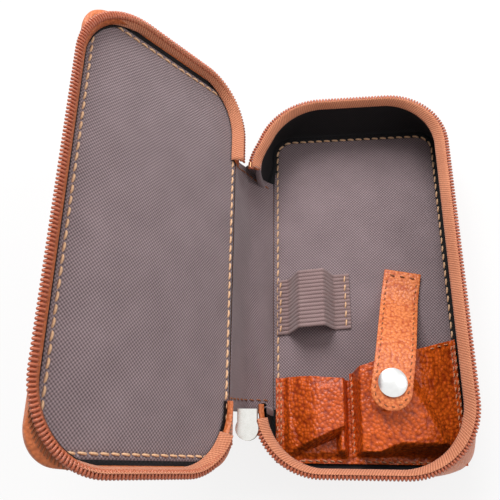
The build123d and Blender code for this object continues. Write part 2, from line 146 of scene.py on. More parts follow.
def sampled(path: Array, extra: Array, stations: Array) -> tuple[Array, Array]:
    """Returns a path and its second quantity at given lengths along it.

    Args:
        path: points (n, dims).
        extra: a quantity at each point (n, dims).
        stations: lengths wanted, of any shape.

    Returns:
        The path's points and the second quantity there, in the stations' shape with one axis more.
    """
    run = lengths(path)
    flat = np.asarray(stations).ravel()
    shape = np.shape(stations)
    first = np.stack([np.interp(flat, run, path[:, k]) for k in range(path.shape[1])], axis=-1)
    second = np.stack([np.interp(flat, run, extra[:, k]) for k in range(extra.shape[1])], axis=-1)
    return first.reshape(*shape, -1), second.reshape(*shape, -1)


def mesh_object(name: str, points: Array, faces: Array, uv: Array | None = None) -> bpy.types.Object:
    """Makes a smooth-shaded mesh object at the origin and returns it.

    Args:
        name: the piece's name.
        points: vertices (n, 3) in millimetres.
        faces: quads (m, 4) of vertex numbers.
        uv: a coordinate for each vertex (n, 2) in millimetres.

    Returns:
        The object, linked to the scene.
    """
    mesh = bpy.data.meshes.new(name)
    mesh.vertices.add(len(points))
    mesh.vertices.foreach_set("co", (np.asarray(points, np.float32) * MM).ravel())
    mesh.loops.add(faces.size)
    mesh.loops.foreach_set("vertex_index", faces.ravel().astype(np.int32))
    mesh.polygons.add(len(faces))
    mesh.polygons.foreach_set("loop_start", np.arange(0, faces.size, 4, dtype=np.int32))
    mesh.polygons.foreach_set("use_smooth", np.ones(len(faces), bool))
    if uv is not None:
        layer = mesh.uv_layers.new(name="flat")
        layer.data.foreach_set("uv", (uv[faces.ravel()] * MM).astype(np.float32).ravel())
    mesh.update()
    mesh.validate()
    piece = bpy.data.objects.new(name, mesh)
    bpy.context.scene.collection.objects.link(piece)
    return piece


def grid_faces(sheets: int, rows: int, cols: int, round_cols: bool = False) -> Array:
    """Returns the quads of several grids of the same size, one after the other.

    Args:
        sheets: number of grids.
        rows: points down each grid.
        cols: points across each grid.
        round_cols: whether the last column joins the first.

    Returns:
        Vertex numbers (faces, 4).
    """
    k, r, c = np.meshgrid(
        np.arange(sheets), np.arange(rows - 1), np.arange(cols if round_cols else cols - 1), indexing="ij"
    )
    after = (c + 1) % cols
    upper = (k * rows + r) * cols
    lower = upper + cols
    return np.stack([upper + c, upper + after, lower + after, lower + c], axis=-1).reshape(-1, 4)


def surface(name: str, grid: Array, uv: Array | None = None, thickness: float = 0.0) -> bpy.types.Object:
    """Makes a sheet from a grid of points, given a thickness behind its face if wanted.

    Args:
        name: the piece's name.
        grid: points (rows, cols, 3).
        uv: flat coordinates (rows, cols, 2); without them each point's run along rows and columns is used.
        thickness: thickness in millimetres; its sign picks the side.

    Returns:
        The object.
    """
    rows, cols, _ = grid.shape
    if uv is None:
        steps = np.linalg.norm(np.diff(grid, axis=0), axis=2)
        down = np.concatenate([np.zeros((1, cols)), np.cumsum(steps, axis=0)])
        across = lengths(grid[rows // 2])
        uv = np.stack([np.broadcast_to(across, (rows, cols)), down], axis=-1)
    piece = mesh_object(name, grid.reshape(-1, 3), grid_faces(1, rows, cols), uv.reshape(-1, 2))
    if thickness:
        solid = piece.modifiers.new("thickness", "SOLIDIFY")
        solid.thickness = abs(thickness) * MM
        solid.offset = -1.0 if thickness > 0 else 1.0
    return piece


def welded(piece: bpy.types.Object) -> bpy.types.Object:
    """Joins the points of a piece that lie on one another, before its other modifiers, and returns it.

    Args:
        piece: a piece whose sheet closes on itself or runs together in its middle.

    Returns:
        The same piece.
    """
    weld = piece.modifiers.new("Weld", "WELD")
    weld.merge_threshold = 0.00002
    piece.modifiers.move(len(piece.modifiers) - 1, 0)
    return piece


def tubes(name: str, paths: Array, up: Array, radius: Array, sides: int = 6) -> bpy.types.Object:
    """Makes many tubes of the same number of points as one mesh.

    Each ring is a circle square to its path, started from the part of up that is square to the path.

    Args:
        name: the piece's name.
        paths: centre lines (tubes, points, 3).
        up: a direction at each point, never along the path.
        radius: radius at each point (tubes, points).
        sides: sides of each ring.

    Returns:
        The object.
    """
    along = unit(np.gradient(paths, axis=1))
    side = unit(np.cross(along, up))
    over = np.cross(side, along)
    turn = np.linspace(0, 2 * np.pi, sides, endpoint=False)
    rings = (
        paths[:, :, None]
        + radius[:, :, None, None] * np.cos(turn)[:, None] * over[:, :, None]
        + radius[:, :, None, None] * np.sin(turn)[:, None] * side[:, :, None]
    )
    count, points = paths.shape[:2]
    run = np.cumsum(np.linalg.norm(np.diff(paths, axis=1, prepend=paths[:, :1]), axis=2), axis=1)
    uv = np.stack(np.broadcast_arrays(run[:, :, None], np.arange(sides) * 0.3), axis=-1)
    return mesh_object(name, rings.reshape(-1, 3), grid_faces(count, points, sides, True), uv.reshape(-1, 2))


def seam(name: str, path: Array, normal: Array, pitch: float, length: float, radius: float) -> bpy.types.Object:
    """Makes a row of stitches: short arched threads whose ends sink into the sheet.

    Args:
        name: the piece's name.
        path: points on the sheet (n, 3).
        normal: the sheet's direction out at each point (n, 3).
        pitch: length of a stitch with the gap after it.
        length: length of one stitch.
        radius: half the thread's thickness.

    Returns:
        The object.
    """
    total = lengths(path)[-1]
    count = max(int(total / pitch), 1)
    share = np.linspace(-0.5, 0.5, 7)
    centres = (np.arange(count) + 0.5) * total / count
    spots, out = sampled(path, normal, centres[:, None] + share * length)
    out = unit(out)
    side = unit(np.cross(np.gradient(spots, axis=1), out))
    lift = radius * (0.75 - 5.2 * share**2)
    spots = spots + out * lift[None, :, None] + side * (share * 0.45)[None, :, None]
    size = radius * np.sqrt(np.clip(1.0 - (2 * share) ** 4, 0.02, 1.0))
    return tubes(name, spots, out, np.broadcast_to(size, spots.shape[:2]), 6)


@dataclass(frozen=True)
class Outline:
    """A rectangle with rounded corners, walked from the spine side past the back, free side and front.

    Args:
        width: size across the spine.
        length: size along the spine.
        shift: where its middle is, across the spine.
        radii: corner radii, from the spine's back corner round to its front corner.
    """

    width: float
    length: float
    shift: float
    radii: tuple[float, float, float, float]

    def walk(self, start: float = 0.0, stop: float = 0.0) -> tuple[Array, Array]:
        """Returns points and outward directions (n, 2), with the same count on any outline.

        The corners are quarter circles, joined by straight sides.

        Args:
            start: the y on the spine side where the walk starts.
            stop: the y on the spine side where it ends.

        Returns:
            Points and outward directions, each (n, 2).
        """
        left, right = self.shift - self.width / 2, self.shift + self.width / 2
        top = self.length / 2
        a, b, c, d = self.radii
        centres = [(left + a, top - a), (right - b, top - b), (right - c, c - top), (left + d, d - top)]
        spots, outs = [], []
        for k, ((x, y), radius) in enumerate(zip(centres, self.radii)):
            angle = np.pi - (k + np.linspace(0, 1, 25)) * np.pi / 2
            out = np.stack([np.cos(angle), np.sin(angle)], axis=-1)
            spots.append(np.array([x, y]) + radius * out)
            outs.append(out)
        sides = [12, 20, 40, 20, 12]
        ends = [np.array([[left, start]]), *spots, np.array([[left, stop]])]
        path, normal = [], []
        for k, count in enumerate(sides):
            share = np.linspace(0, 1, count, endpoint=False)[(0 if k == 0 else 1) :, None]
            path.append(ends[k][-1] * (1 - share) + ends[k + 1][0] * share)
            out = outs[k][0] if k < 4 else outs[3][-1]
            normal.append(np.broadcast_to(out, path[-1].shape))
            if k < 4:
                path.append(spots[k])
                normal.append(outs[k])
        path.append(ends[-1])
        normal.append(outs[3][-1:])
        return np.concatenate(path), np.concatenate(normal)


def at_level(spots: Array, level: Array | float) -> Array:
    """Returns flat points (n, 2) as points (n, 3) at a level."""
    return np.concatenate([spots, np.broadcast_to(level, spots.shape[:1])[:, None]], axis=1)


# ---------------------------------------------------------------- finishes


class Nodes:
    """A small helper that writes a material's node tree."""

    def __init__(self, name: str) -> None:
        """Starts an empty material with a surface shader.

        Args:
            name: the material's name.
        """
        self.material = bpy.data.materials.new(name)
        self.material.use_nodes = True
        self.tree = self.material.node_tree
        self.tree.nodes.clear()
        self.shader = self.add("ShaderNodeBsdfPrincipled")
        output = self.add("ShaderNodeOutputMaterial")
        self.link(self.shader.outputs[0], output.inputs[0])

    def add(self, kind: str, **settings: object) -> bpy.types.Node:
        """Adds a node, sets its properties and returns it.

        Args:
            kind: Blender's name of the node.
            settings: properties of the node.

        Returns:
            The node.
        """
        node = self.tree.nodes.new(kind)
        for key, value in settings.items():
            setattr(node, key, value)
        return node

    def link(self, source: bpy.types.NodeSocket, target: bpy.types.NodeSocket) -> None:
        """Joins an output to an input."""
        self.tree.links.new(source, target)

    def maths(self, operation: str, first: object, second: object = 0.0) -> bpy.types.NodeSocket:
        """Adds one sum and returns its output.

        Args:
            operation: Blender's name of the sum.
            first: a number or an output.
            second: a number or an output.

        Returns:
            The sum's output.
        """
        node = self.add("ShaderNodeMath", operation=operation)
        for socket, value in zip(node.inputs, (first, second)):
            if isinstance(value, bpy.types.NodeSocket):
                self.link(value, socket)
            else:
                socket.default_value = value
        return node.outputs[0]

    def mixed(self, share: bpy.types.NodeSocket, low: tuple, high: tuple) -> bpy.types.NodeSocket:
        """Mixes two colours and returns the output.

        Args:
            share: 0 for low and 1 for high.
            low: linear colour.
            high: linear colour.

        Returns:
            The mixed colour.
        """
        node = self.add("ShaderNodeMix", data_type="RGBA")
        self.link(share, node.inputs[0])
        node.inputs[6].default_value = (*low, 1.0)
        node.inputs[7].default_value = (*high, 1.0)
        return node.outputs[2]

    def spot(self, flat: bool) -> bpy.types.NodeSocket:
        """Returns the flat coordinates of a sheet, or the object's own coordinates."""
        return self.add("ShaderNodeTexCoord").outputs["UV" if flat else "Object"]

    def noise(self, spot: bpy.types.NodeSocket, scale: float, detail: float = 3.0) -> bpy.types.NodeSocket:
        """Adds a noise and returns its value.

        Args:
            spot: the coordinates it is read at.
            scale: noise cells in a metre.
            detail: number of finer layers.

        Returns:
            The noise's value.
        """
        node = self.add("ShaderNodeTexNoise")
        self.link(spot, node.inputs["Vector"])
        node.inputs["Scale"].default_value = scale
        node.inputs["Detail"].default_value = detail
        return node.outputs[0]

    def bump(self, height: bpy.types.NodeSocket, depth: float) -> None:
        """Roughens the surface by a height.

        Args:
            height: from 0 to 1.
            depth: in millimetres.
        """
        node = self.add("ShaderNodeBump")
        node.inputs["Distance"].default_value = depth * MM
        self.link(height, node.inputs["Height"])
        self.link(node.outputs[0], self.shader.inputs["Normal"])

    def rough(self, value: float) -> None:
        """Sets how matt the surface is, from 0 for a mirror to 1."""
        self.shader.inputs["Roughness"].default_value = value


@dataclass(frozen=True)
class Leather:
    """Pebbled leather: rounded cells with darker creases between them, over a slow change of colour.

    Args:
        name: the material's name.
        crease: linear colour in the creases.
        face: linear colour of the cells.
        cells: cells in a metre.
        depth: height of the grain in millimetres.
        matt: how matt it is.
    """

    name: str
    crease: tuple[float, float, float]
    face: tuple[float, float, float]
    cells: float = 620.0
    depth: float = 0.3
    matt: float = 0.38

    def material(self) -> bpy.types.Material:
        """Writes the material and returns it.

        The grain is a smoothed cell distance with a fine noise. The colour goes from the cells to the
        creases with that distance, and a slow noise shifts it.

        Returns:
            The material.
        """
        n = Nodes(self.name)
        spot = n.spot(False)
        grain = n.add("ShaderNodeTexVoronoi", feature="SMOOTH_F1")
        n.link(spot, grain.inputs["Vector"])
        grain.inputs["Scale"].default_value = self.cells
        grain.inputs["Smoothness"].default_value = 0.35
        fine = n.noise(spot, self.cells * 2.2, 4.0)
        slow = n.noise(spot, 45.0, 2.0)
        height = n.maths("SUBTRACT", n.maths("MULTIPLY", fine, 0.45), grain.outputs["Distance"])
        share = n.maths("SUBTRACT", 1.15, n.maths("MULTIPLY", grain.outputs["Distance"], 1.35))
        share = n.maths("ADD", share, n.maths("MULTIPLY", n.maths("SUBTRACT", slow, 0.5), 0.9))
        clamp = n.add("ShaderNodeClamp")
        n.link(share, clamp.inputs[0])
        n.link(n.mixed(clamp.outputs[0], self.crease, self.face), n.shader.inputs["Base Color"])
        n.bump(height, self.depth)
        n.rough(self.matt)
        n.shader.inputs["Specular IOR Level"].default_value = 0.4
        return n.material


@dataclass(frozen=True)
class Weave:
    """Plain woven cloth: yarns that pass over and under make a lattice of light spots on a darker ground.

    Args:
        name: the material's name.
        ground: linear colour between the spots.
        spot_colour: linear colour of the spots.
        pitch: distance between yarns over which the pattern repeats, in millimetres.
        depth: height of the yarns in millimetres.
        slant: how far each row is shifted, as a share of the run along the other way.
        sheen: how much it shines at its edges.
    """

    name: str
    ground: tuple[float, float, float]
    spot_colour: tuple[float, float, float]
    pitch: float = 1.45
    depth: float = 0.12
    slant: float = 0.0
    sheen: float = 0.2

    def material(self) -> bpy.types.Material:
        """Writes the material and returns it.

        The lattice is the product of two sines of the flat coordinates, broken up by a fine and a slow
        noise.

        Returns:
            The material.
        """
        n = Nodes(self.name)
        flat = n.spot(True)
        parts = n.add("ShaderNodeSeparateXYZ")
        n.link(flat, parts.inputs[0])
        turn = 2 * math.pi / (self.pitch * MM)
        across = n.maths("ADD", parts.outputs[0], n.maths("MULTIPLY", parts.outputs[1], self.slant))
        first = n.maths("SINE", n.maths("MULTIPLY", across, turn))
        second = n.maths("SINE", n.maths("MULTIPLY", parts.outputs[1], turn))
        lattice = n.maths("MULTIPLY", first, second)
        height = n.maths("ADD", n.maths("MULTIPLY", lattice, 0.5), 0.5)
        slow = n.noise(flat, 60.0, 3.0)
        fine = n.noise(flat, 2600.0, 1.0)
        share = n.maths("MULTIPLY", height, n.maths("ADD", 0.45, n.maths("MULTIPLY", fine, 0.9)))
        share = n.maths("ADD", share, n.maths("MULTIPLY", n.maths("SUBTRACT", slow, 0.5), 0.35))
        clamp = n.add("ShaderNodeClamp")
        n.link(share, clamp.inputs[0])
        n.link(n.mixed(clamp.outputs[0], self.ground, self.spot_colour), n.shader.inputs["Base Color"])
        n.bump(height, self.depth)
        n.rough(0.78)
        n.shader.inputs["Sheen Weight"].default_value = self.sheen
        n.shader.inputs["Specular IOR Level"].default_value = 0.25
        return n.material


@dataclass(frozen=True)
class Plain:
    """Thread, coil, metal, board or foam: two near colours mixed by a noise, with a fine roughness.

    Args:
        name: the material's name.
        low: first linear colour.
        high: second linear colour.
        grain: noise cells in a metre.
        depth: height of the noise in millimetres.
        matt: how matt it is.
        metal: whether it is metal.
    """

    name: str
    low: tuple[float, float, float]
    high: tuple[float, float, float]
    grain: float = 900.0
    depth: float = 0.05
    matt: float = 0.5
    metal: bool = False

    def material(self) -> bpy.types.Material:
        """Writes the material and returns it.

        One noise mixes both colours and roughens the surface.

        Returns:
            The material.
        """
        n = Nodes(self.name)
        value = n.noise(n.spot(False), self.grain)
        n.link(n.mixed(value, self.low, self.high), n.shader.inputs["Base Color"])
        n.bump(value, self.depth)
        n.rough(self.matt)
        n.shader.inputs["Metallic"].default_value = 1.0 if self.metal else 0.0
        return n.material


@dataclass
class Finishes:
    """Every finish of the case, made once and shared by the pieces."""

    outer: Leather = Leather("outer_leather", (0.50, 0.125, 0.036), (0.68, 0.19, 0.062), 760.0, 0.30, 0.40)
    pocket: Leather = Leather("pocket_leather", (0.30, 0.030, 0.003), (0.84, 0.135, 0.010), 640.0, 0.44, 0.32)
    # The strap's leather is a lighter, pinker copy of the pocket leather whose slot it fills. Its extra
    # lightness is partly painted highlight: the sheen of faces turned to the light.
    strap: Leather = Leather("strap_leather", (0.50, 0.085, 0.020), (0.90, 0.27, 0.085), 820.0, 0.26, 0.36)
    lining: Weave = Weave("lining_cloth", (0.088, 0.060, 0.064), (0.40, 0.30, 0.315))
    # The walls' lining is dark cloth painted near-black: its darkness is partly painted shade of walls turned
    # away from the light.
    wall: Weave = Weave("wall_lining", (0.003, 0.003, 0.003), (0.014, 0.012, 0.014), sheen=0.0)
    tape: Weave = Weave("zip_tape", (0.34, 0.085, 0.030), (0.98, 0.42, 0.24), 1.05, 0.16, 0.6)
    elastic: Weave = Weave("elastic_band", (0.14, 0.082, 0.080), (0.49, 0.345, 0.335), 0.75, 0.08)
    coil: Plain = Plain("zip_coil", (0.34, 0.070, 0.028), (0.66, 0.185, 0.085), 900.0, 0.05, 0.28)
    thread: Plain = Plain("thread", (0.60, 0.32, 0.16), (0.95, 0.62, 0.38), 1500.0, 0.08, 0.55)
    dark_thread: Plain = Plain("dark_thread", (0.16, 0.045, 0.015), (0.40, 0.14, 0.05), 1500.0, 0.08, 0.55)
    pale_thread: Plain = Plain("pale_thread", (0.42, 0.15, 0.06), (0.80, 0.38, 0.21), 1500.0, 0.08, 0.55)
    steel: Plain = Plain("bright_nickel", (0.72, 0.71, 0.66), (0.86, 0.85, 0.82), 500.0, 0.01, 0.22, True)
    bronze: Plain = Plain("dark_bronze", (0.30, 0.12, 0.06), (0.48, 0.22, 0.12), 500.0, 0.01, 0.3, True)
    cap: Plain = Plain("satin_nickel", (0.80, 0.80, 0.79), (0.92, 0.92, 0.91), 500.0, 0.01, 0.28, True)
    board: Plain = Plain("stiffener", (0.28, 0.22, 0.16), (0.42, 0.34, 0.25), 1200.0, 0.1, 0.8)
    foam: Plain = Plain("foam", (0.55, 0.53, 0.48), (0.70, 0.68, 0.63), 2500.0, 0.2, 0.9)
    made: dict = field(default_factory=dict)

    def dress(self, piece: bpy.types.Object, name: str, slot: str | None = None) -> bpy.types.Object:
        """Gives a piece one of the finishes and returns it.

        Args:
            piece: the object.
            name: the finish's field name.
            slot: the record's slot that it stands for; not used.

        Returns:
            The same piece.
        """
        if name not in self.made:
            self.made[name] = getattr(self, name).material()
        piece.data.materials.clear()
        piece.data.materials.append(self.made[name])
        return piece


def sheet_area(piece: bpy.types.Object) -> float:
    """Returns a mesh's area in square metres.

    Args:
        piece: the object.

    Returns:
        Square metres.
    """
    areas = np.zeros(len(piece.data.polygons))
    piece.data.polygons.foreach_get("area", areas)
    return float(areas.sum())


# ---------------------------------------------------------------- the case


def tape_foot(out: Array) -> Array:
    """Returns how far inside the coil's edge the tape meets the wall: farther at the long sides."""
    return 4.3 + 1.7 * np.abs(out[:, 0])


def trimmed(path: Array, out: Array, stop: float) -> tuple[Array, Array]:
    """Returns a path that ends where its last corner reaches a given y, with as many points as before.

    The path is cut at the first point past the stop and spread evenly again.

    Args:
        path: points (n, 2).
        out: outward directions (n, 2).
        stop: the y where it is to end.

    Returns:
        The shortened path and its directions.
    """
    run = lengths(path)
    last = int(np.argmax((np.arange(len(path)) > len(path) // 2) & (path[:, 0] < -10.0) & (path[:, 1] > stop)))
    end = run[last] if last else run[-1]
    return sampled(path, out, np.linspace(0.0, end, len(path)))


def drawn_out(spots: Array, wanted: bool = True) -> Array:
    """Returns flat points with the tray's rim drawn out towards the spine near its back end.

    The move is the product of two ramps, one towards the spine and one towards the back end.

    Args:
        spots: points whose last axis holds x, y.
        wanted: whether to move them at all.

    Returns:
        The points, in the same shape.
    """
    if not wanted:
        return spots
    near = smooth((-34.0 - spots[..., 0]) / 6.0) * smooth((68.0 - spots[..., 1]) / 16.0)
    near = near * (spots[..., 1] > 0)
    return spots - np.stack([DRAWN_BY * near, np.zeros_like(near)], axis=-1)


@dataclass
class Zip:
    """One half of the zip: the coiled filament and the woven tape that it is sewn to.

    Args:
        finishes: the case's finishes.
        rim: outline of the coil's outer edge.
        coil_width: the coil's width.
        pitch: length of one turn.
        filament: half the filament's thickness.
        steps: points in one turn.
        level: height of the coil's middle.
        clip_level: height of the middle of the clip at the coil's end.
        clip_radius: half the clip's width.
        tape_thickness: thickness of the tape.
        tray_tape: share of the way from edge to foot and level, across the tray's tape.
        lid_tape: the same across the lid's tape, before it is mirrored.
        lid_upright: the same where the lid's tape stands up steeply.
    """

    finishes: Finishes
    rim: Outline
    coil_width: float = 2.9
    pitch: float = 1.5
    filament: float = 0.54
    steps: int = 16
    level: float = 30.75
    clip_level: float = 30.72
    clip_radius: float = 1.12
    tape_thickness: float = 0.32
    tray_tape: tuple = ((1.03, 28.2), (0.90, 29.4), (0.72, 30.7), (0.55, 31.6), (0.40, 31.9))
    lid_tape: tuple = ((1.0, 27.6), (0.86, 29.2), (0.66, 30.7), (0.5, 31.6), (0.40, 31.9))
    lid_upright: tuple = ((1.0, 26.9), (0.86, 28.2), (0.66, 29.3), (0.5, 30.2), (0.41, 30.8))

    def coil_path(self, start: float, stop: float, drawn: bool) -> tuple[Array, Array]:
        """Returns the filament's centre line and the rim's direction at each point.

        Each turn crosses the coil's width on top without moving on, and moves on by one pitch underneath.

        Args:
            start: the y where it starts on the spine side.
            stop: the y where it ends on the spine side.
            drawn: whether it follows the tray's drawn-out end.

        Returns:
            The line and the direction ahead, each (n, 3).
        """
        path, out = trimmed(*self.rim.walk(start, SPINE_FRONT), stop)
        run = lengths(path)[-1]
        turns = int(run / self.pitch)
        phase = np.arange(turns * self.steps) / self.steps
        within = phase % 1.0
        moved = np.floor(phase) + smooth((within - 0.5) * 2.0)
        spots, outs = sampled(path, out, moved * self.pitch)
        angle = within * 2 * np.pi
        across = self.coil_width / 2 + 0.04 - (self.coil_width / 2 - self.filament) * np.cos(angle)
        height = self.level + 0.43 * np.sin(angle)
        flat = drawn_out(spots - unit(outs) * across[:, None], drawn)
        line = np.concatenate([flat, height[:, None]], axis=1)
        ahead = np.stack([outs[:, 1], -outs[:, 0], np.zeros(len(outs))], axis=1)
        return line, unit(ahead)

    def tape_grid(self, start: float, stop: float, lid: bool) -> Array:
        """Returns the tape's inner face, from the top of the wall to its woven edge beside the coil's teeth.

        On the lid's free side the tape stands up steeply, and everywhere else it leans outwards.

        Args:
            start: the y where it starts on the spine side.
            stop: the y where it ends on the spine side.
            lid: whether this is the lid's half.

        Returns:
            Points (rows, n, 3).
        """
        path, out = trimmed(*self.rim.walk(start, SPINE_FRONT), stop)
        foot = tape_foot(out)[:, None] - (1.5 * smooth((out[:, :1] - 0.15) / 0.6) if lid else 0.0)
        if lid:
            steep = smooth((out[:, 0] - 0.15) / 0.6)[:, None]
            flat = curve_through(self.lid_tape, TAPE_ROWS)
            upright = curve_through(self.lid_upright, TAPE_ROWS)
            share, level = [(1 - steep) * flat[:, k] + steep * upright[:, k] for k in (0, 1)]
        else:
            knots = curve_through(self.tray_tape, TAPE_ROWS)
            share, level = [np.broadcast_to(knots[:, k], (len(path), TAPE_ROWS)) for k in (0, 1)]
        inset = np.where(share < 0.41, TAPE_EDGE, TAPE_EDGE + (share - 0.40) / 0.6 * (foot - TAPE_EDGE))
        spots = drawn_out(path[:, None] - inset[..., None] * out[:, None], not lid)
        grid = np.concatenate([spots, level[..., None]], axis=2)
        return np.swapaxes(grid, 0, 1)

    def end_stop(self, start: float) -> None:
        """Makes the small metal clip round the coil's end: a short tube drawn along the coil.

        Args:
            start: the y where the coil starts.
        """
        path, out = self.rim.walk(start, SPINE_FRONT)
        spots, outs = sampled(path, out, np.linspace(0.2, 2.8, 6))
        line = at_level(drawn_out(spots - outs * self.coil_width * 0.42), self.clip_level)[None]
        clip = tubes("coil_end_clip", line, upward(line), np.full(line.shape[:2], self.clip_radius), 10)
        self.finishes.dress(clip, "bronze", "slider_metal")
        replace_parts(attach(clip, Body.TRAY.value), "zip_end_stop")

    def build(self, body: Body, prefix: str, start: float, stop: float) -> list[bpy.types.Object]:
        """Makes the half for the tray, or mirrored and opened for the lid.

        Args:
            body: the body that it rides on.
            prefix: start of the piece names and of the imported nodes.
            start: the y where it starts on the spine side.
            stop: the y where it ends on the spine side.

        Returns:
            The coil and the tape.
        """
        lid = body is Body.LID
        line, ahead = self.coil_path(start, stop, not lid)
        tape = self.tape_grid(start, stop, lid)
        if lid:
            flip = np.array([1.0, 1.0, -1.0])
            lift = np.array([0.0, 0.0, 2 * CLOSE_LEVEL])
            line, tape = opened(line * flip + lift), opened(tape * flip + lift)
            ahead = opened_way(ahead * flip)
        coil = tubes(f"{prefix}_coil", line[None], ahead[None], np.full((1, len(line)), self.filament), 6)
        self.finishes.dress(coil, "coil", "zip_coil")
        woven = surface(f"{prefix}_tape", tape, thickness=-self.tape_thickness if lid else self.tape_thickness)
        self.finishes.dress(woven, "tape", "zip_tape")
        if not lid:
            self.end_stop(start)
        for piece, node in ((coil, "coil"), (woven, "tape")):
            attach(piece, body.value)
            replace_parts(piece, f"{prefix}_zip_{node}")
        return [coil, woven]


@dataclass
class Shell:
    """What the tray and the lid share: a stitched panel of cloth and soft walls between it and the zip.

    Args:
        finishes: the case's finishes.
        panel: outline of the panel.
        rim: outline of the coil's outer edge.
        drawn: whether the walls follow the tray's drawn-out end.
        stitch_inset: how far inside the panel's outline its stitches run.
        sewing_pitch: distance between the threads that sew the zip to the wall.
        sewing_slant: how far ahead each of them ends.
        sewing_thread: half their thickness.
    """

    finishes: Finishes
    panel: Outline
    rim: Outline
    drawn: bool = True
    stitch_inset: float = 2.4
    sewing_pitch: float = 1.5
    sewing_slant: float = 0.7
    sewing_thread: float = 0.3

    def wall_grid(self, rows: list[tuple[float, float, float]], start: float, stop: float) -> Array:
        """Returns a wall between the panel's outline and the rim's.

        Args:
            rows: for each row its level, its share of the way to the rim, and its distance outside the lining.
            start: the y where it starts on the spine side.
            stop: the y where it ends on the spine side.

        Returns:
            Points (rows, n, 3).
        """
        a, na = self.panel.walk(start, stop)
        b, nb = self.rim.walk(start, stop)
        neck = tape_foot(nb)[:, None] - 0.1
        grid = []
        for level, share, off in rows:
            spots = (1 - share) * (a + na * (0.2 + off)) + share * (b - nb * (neck - off))
            grid.append(at_level(drawn_out(spots, self.drawn), level))
        return np.stack(grid)

    def sewing(self, name: str, low: tuple, high: tuple, start: float, body: Body) -> bpy.types.Object:
        """Makes the slanting threads that sew the zip to the outside of the wall.

        Args:
            name: the piece's name.
            low: level, share and distance outside of the threads' ends near the coil, as in a wall's row.
            high: the same for their far ends.
            start: the y where they start on the spine side.
            body: the body that they ride on.

        Returns:
            The piece.
        """
        near, far = self.wall_grid([low, high], start, SPINE_FRONT)
        run = lengths(near)
        at = np.arange(1.0, run[-1] - 1.0, self.sewing_pitch)
        ends = []
        for line, shift in ((near, 0.0), (far, self.sewing_slant)):
            stations = (at + shift) / run[-1] * lengths(line)[-1]
            ends.append(sampled(line, line, stations)[0])
        share = np.linspace(0, 1, 5)[None, :, None]
        threads = ends[0][:, None] * (1 - share) + ends[1][:, None] * share
        middle = np.array([self.panel.shift, 0.0, 0.0])
        out = unit((threads - middle) * np.array([1.0, 0.4, 0.0]))
        if body is Body.LID:
            threads, out = opened(threads), opened_way(out)
        piece = tubes(name, threads, out, np.full(threads.shape[:2], self.sewing_thread), 5)
        self.finishes.dress(piece, "dark_thread")
        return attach(piece, body.value)

    def panel_grid(self, level: float, inward: float, pillow: float) -> Array:
        """Returns the lining panel: level at its edge, drawn down along the stitches and soft between them.

        Its rows are the outline moved inwards and then shrunk to the middle. A bell curve draws it down at
        the stitches, a ramp turns its edge down and another lifts its middle.

        Args:
            level: the level of its face.
            inward: 1 if its face looks up, -1 if down.
            pillow: how far its middle stands proud.

        Returns:
            Points (rows, n, 3).
        """
        path, out = self.panel.walk()
        insets = [0.25, 0.55, 1.0, 1.6, 2.1, 2.4, 2.7, 3.2, 4.0, 5.2, 7.0]
        rows = [path - out * inset for inset in insets]
        middle = np.array([self.panel.shift, 0.0])
        reach = [0.93, 0.85, 0.76, 0.66, 0.55, 0.44, 0.33, 0.22, 0.11, 0.0]
        rows += [middle + (rows[10] - middle) * share for share in reach]
        depth = np.array([*insets, *[7.0 + 33.0 * (1 - share) for share in reach]])
        face = -0.35 * np.exp(-(((depth - self.stitch_inset) / 0.7) ** 2)) - 0.6 * smooth((1.2 - depth) / 1.0)
        face = face + pillow * smooth((depth - 3.0) / 18.0)
        grid = []
        for spots, rise, inset in zip(rows, face, depth):
            soft = ripple(spots[:, 0], spots[:, 1], 0.16) * smooth(np.array((inset - 2.0) / 6.0))
            grid.append(at_level(spots, level + inward * (rise + soft)))
        return np.stack(grid)

    def panel_seam(self, level: float, inward: float) -> tuple[Array, Array]:
        """Returns the path of the panel's stitches and the direction out of it.

        Args:
            level: the level of the panel's face.
            inward: 1 if its face looks up, -1 if down.

        Returns:
            Points and directions, each (n, 3).
        """
        path, out = self.panel.walk()
        line = at_level(path - out * self.stitch_inset, level - inward * 0.22)
        return line, np.broadcast_to([0.0, 0.0, inward], line.shape)


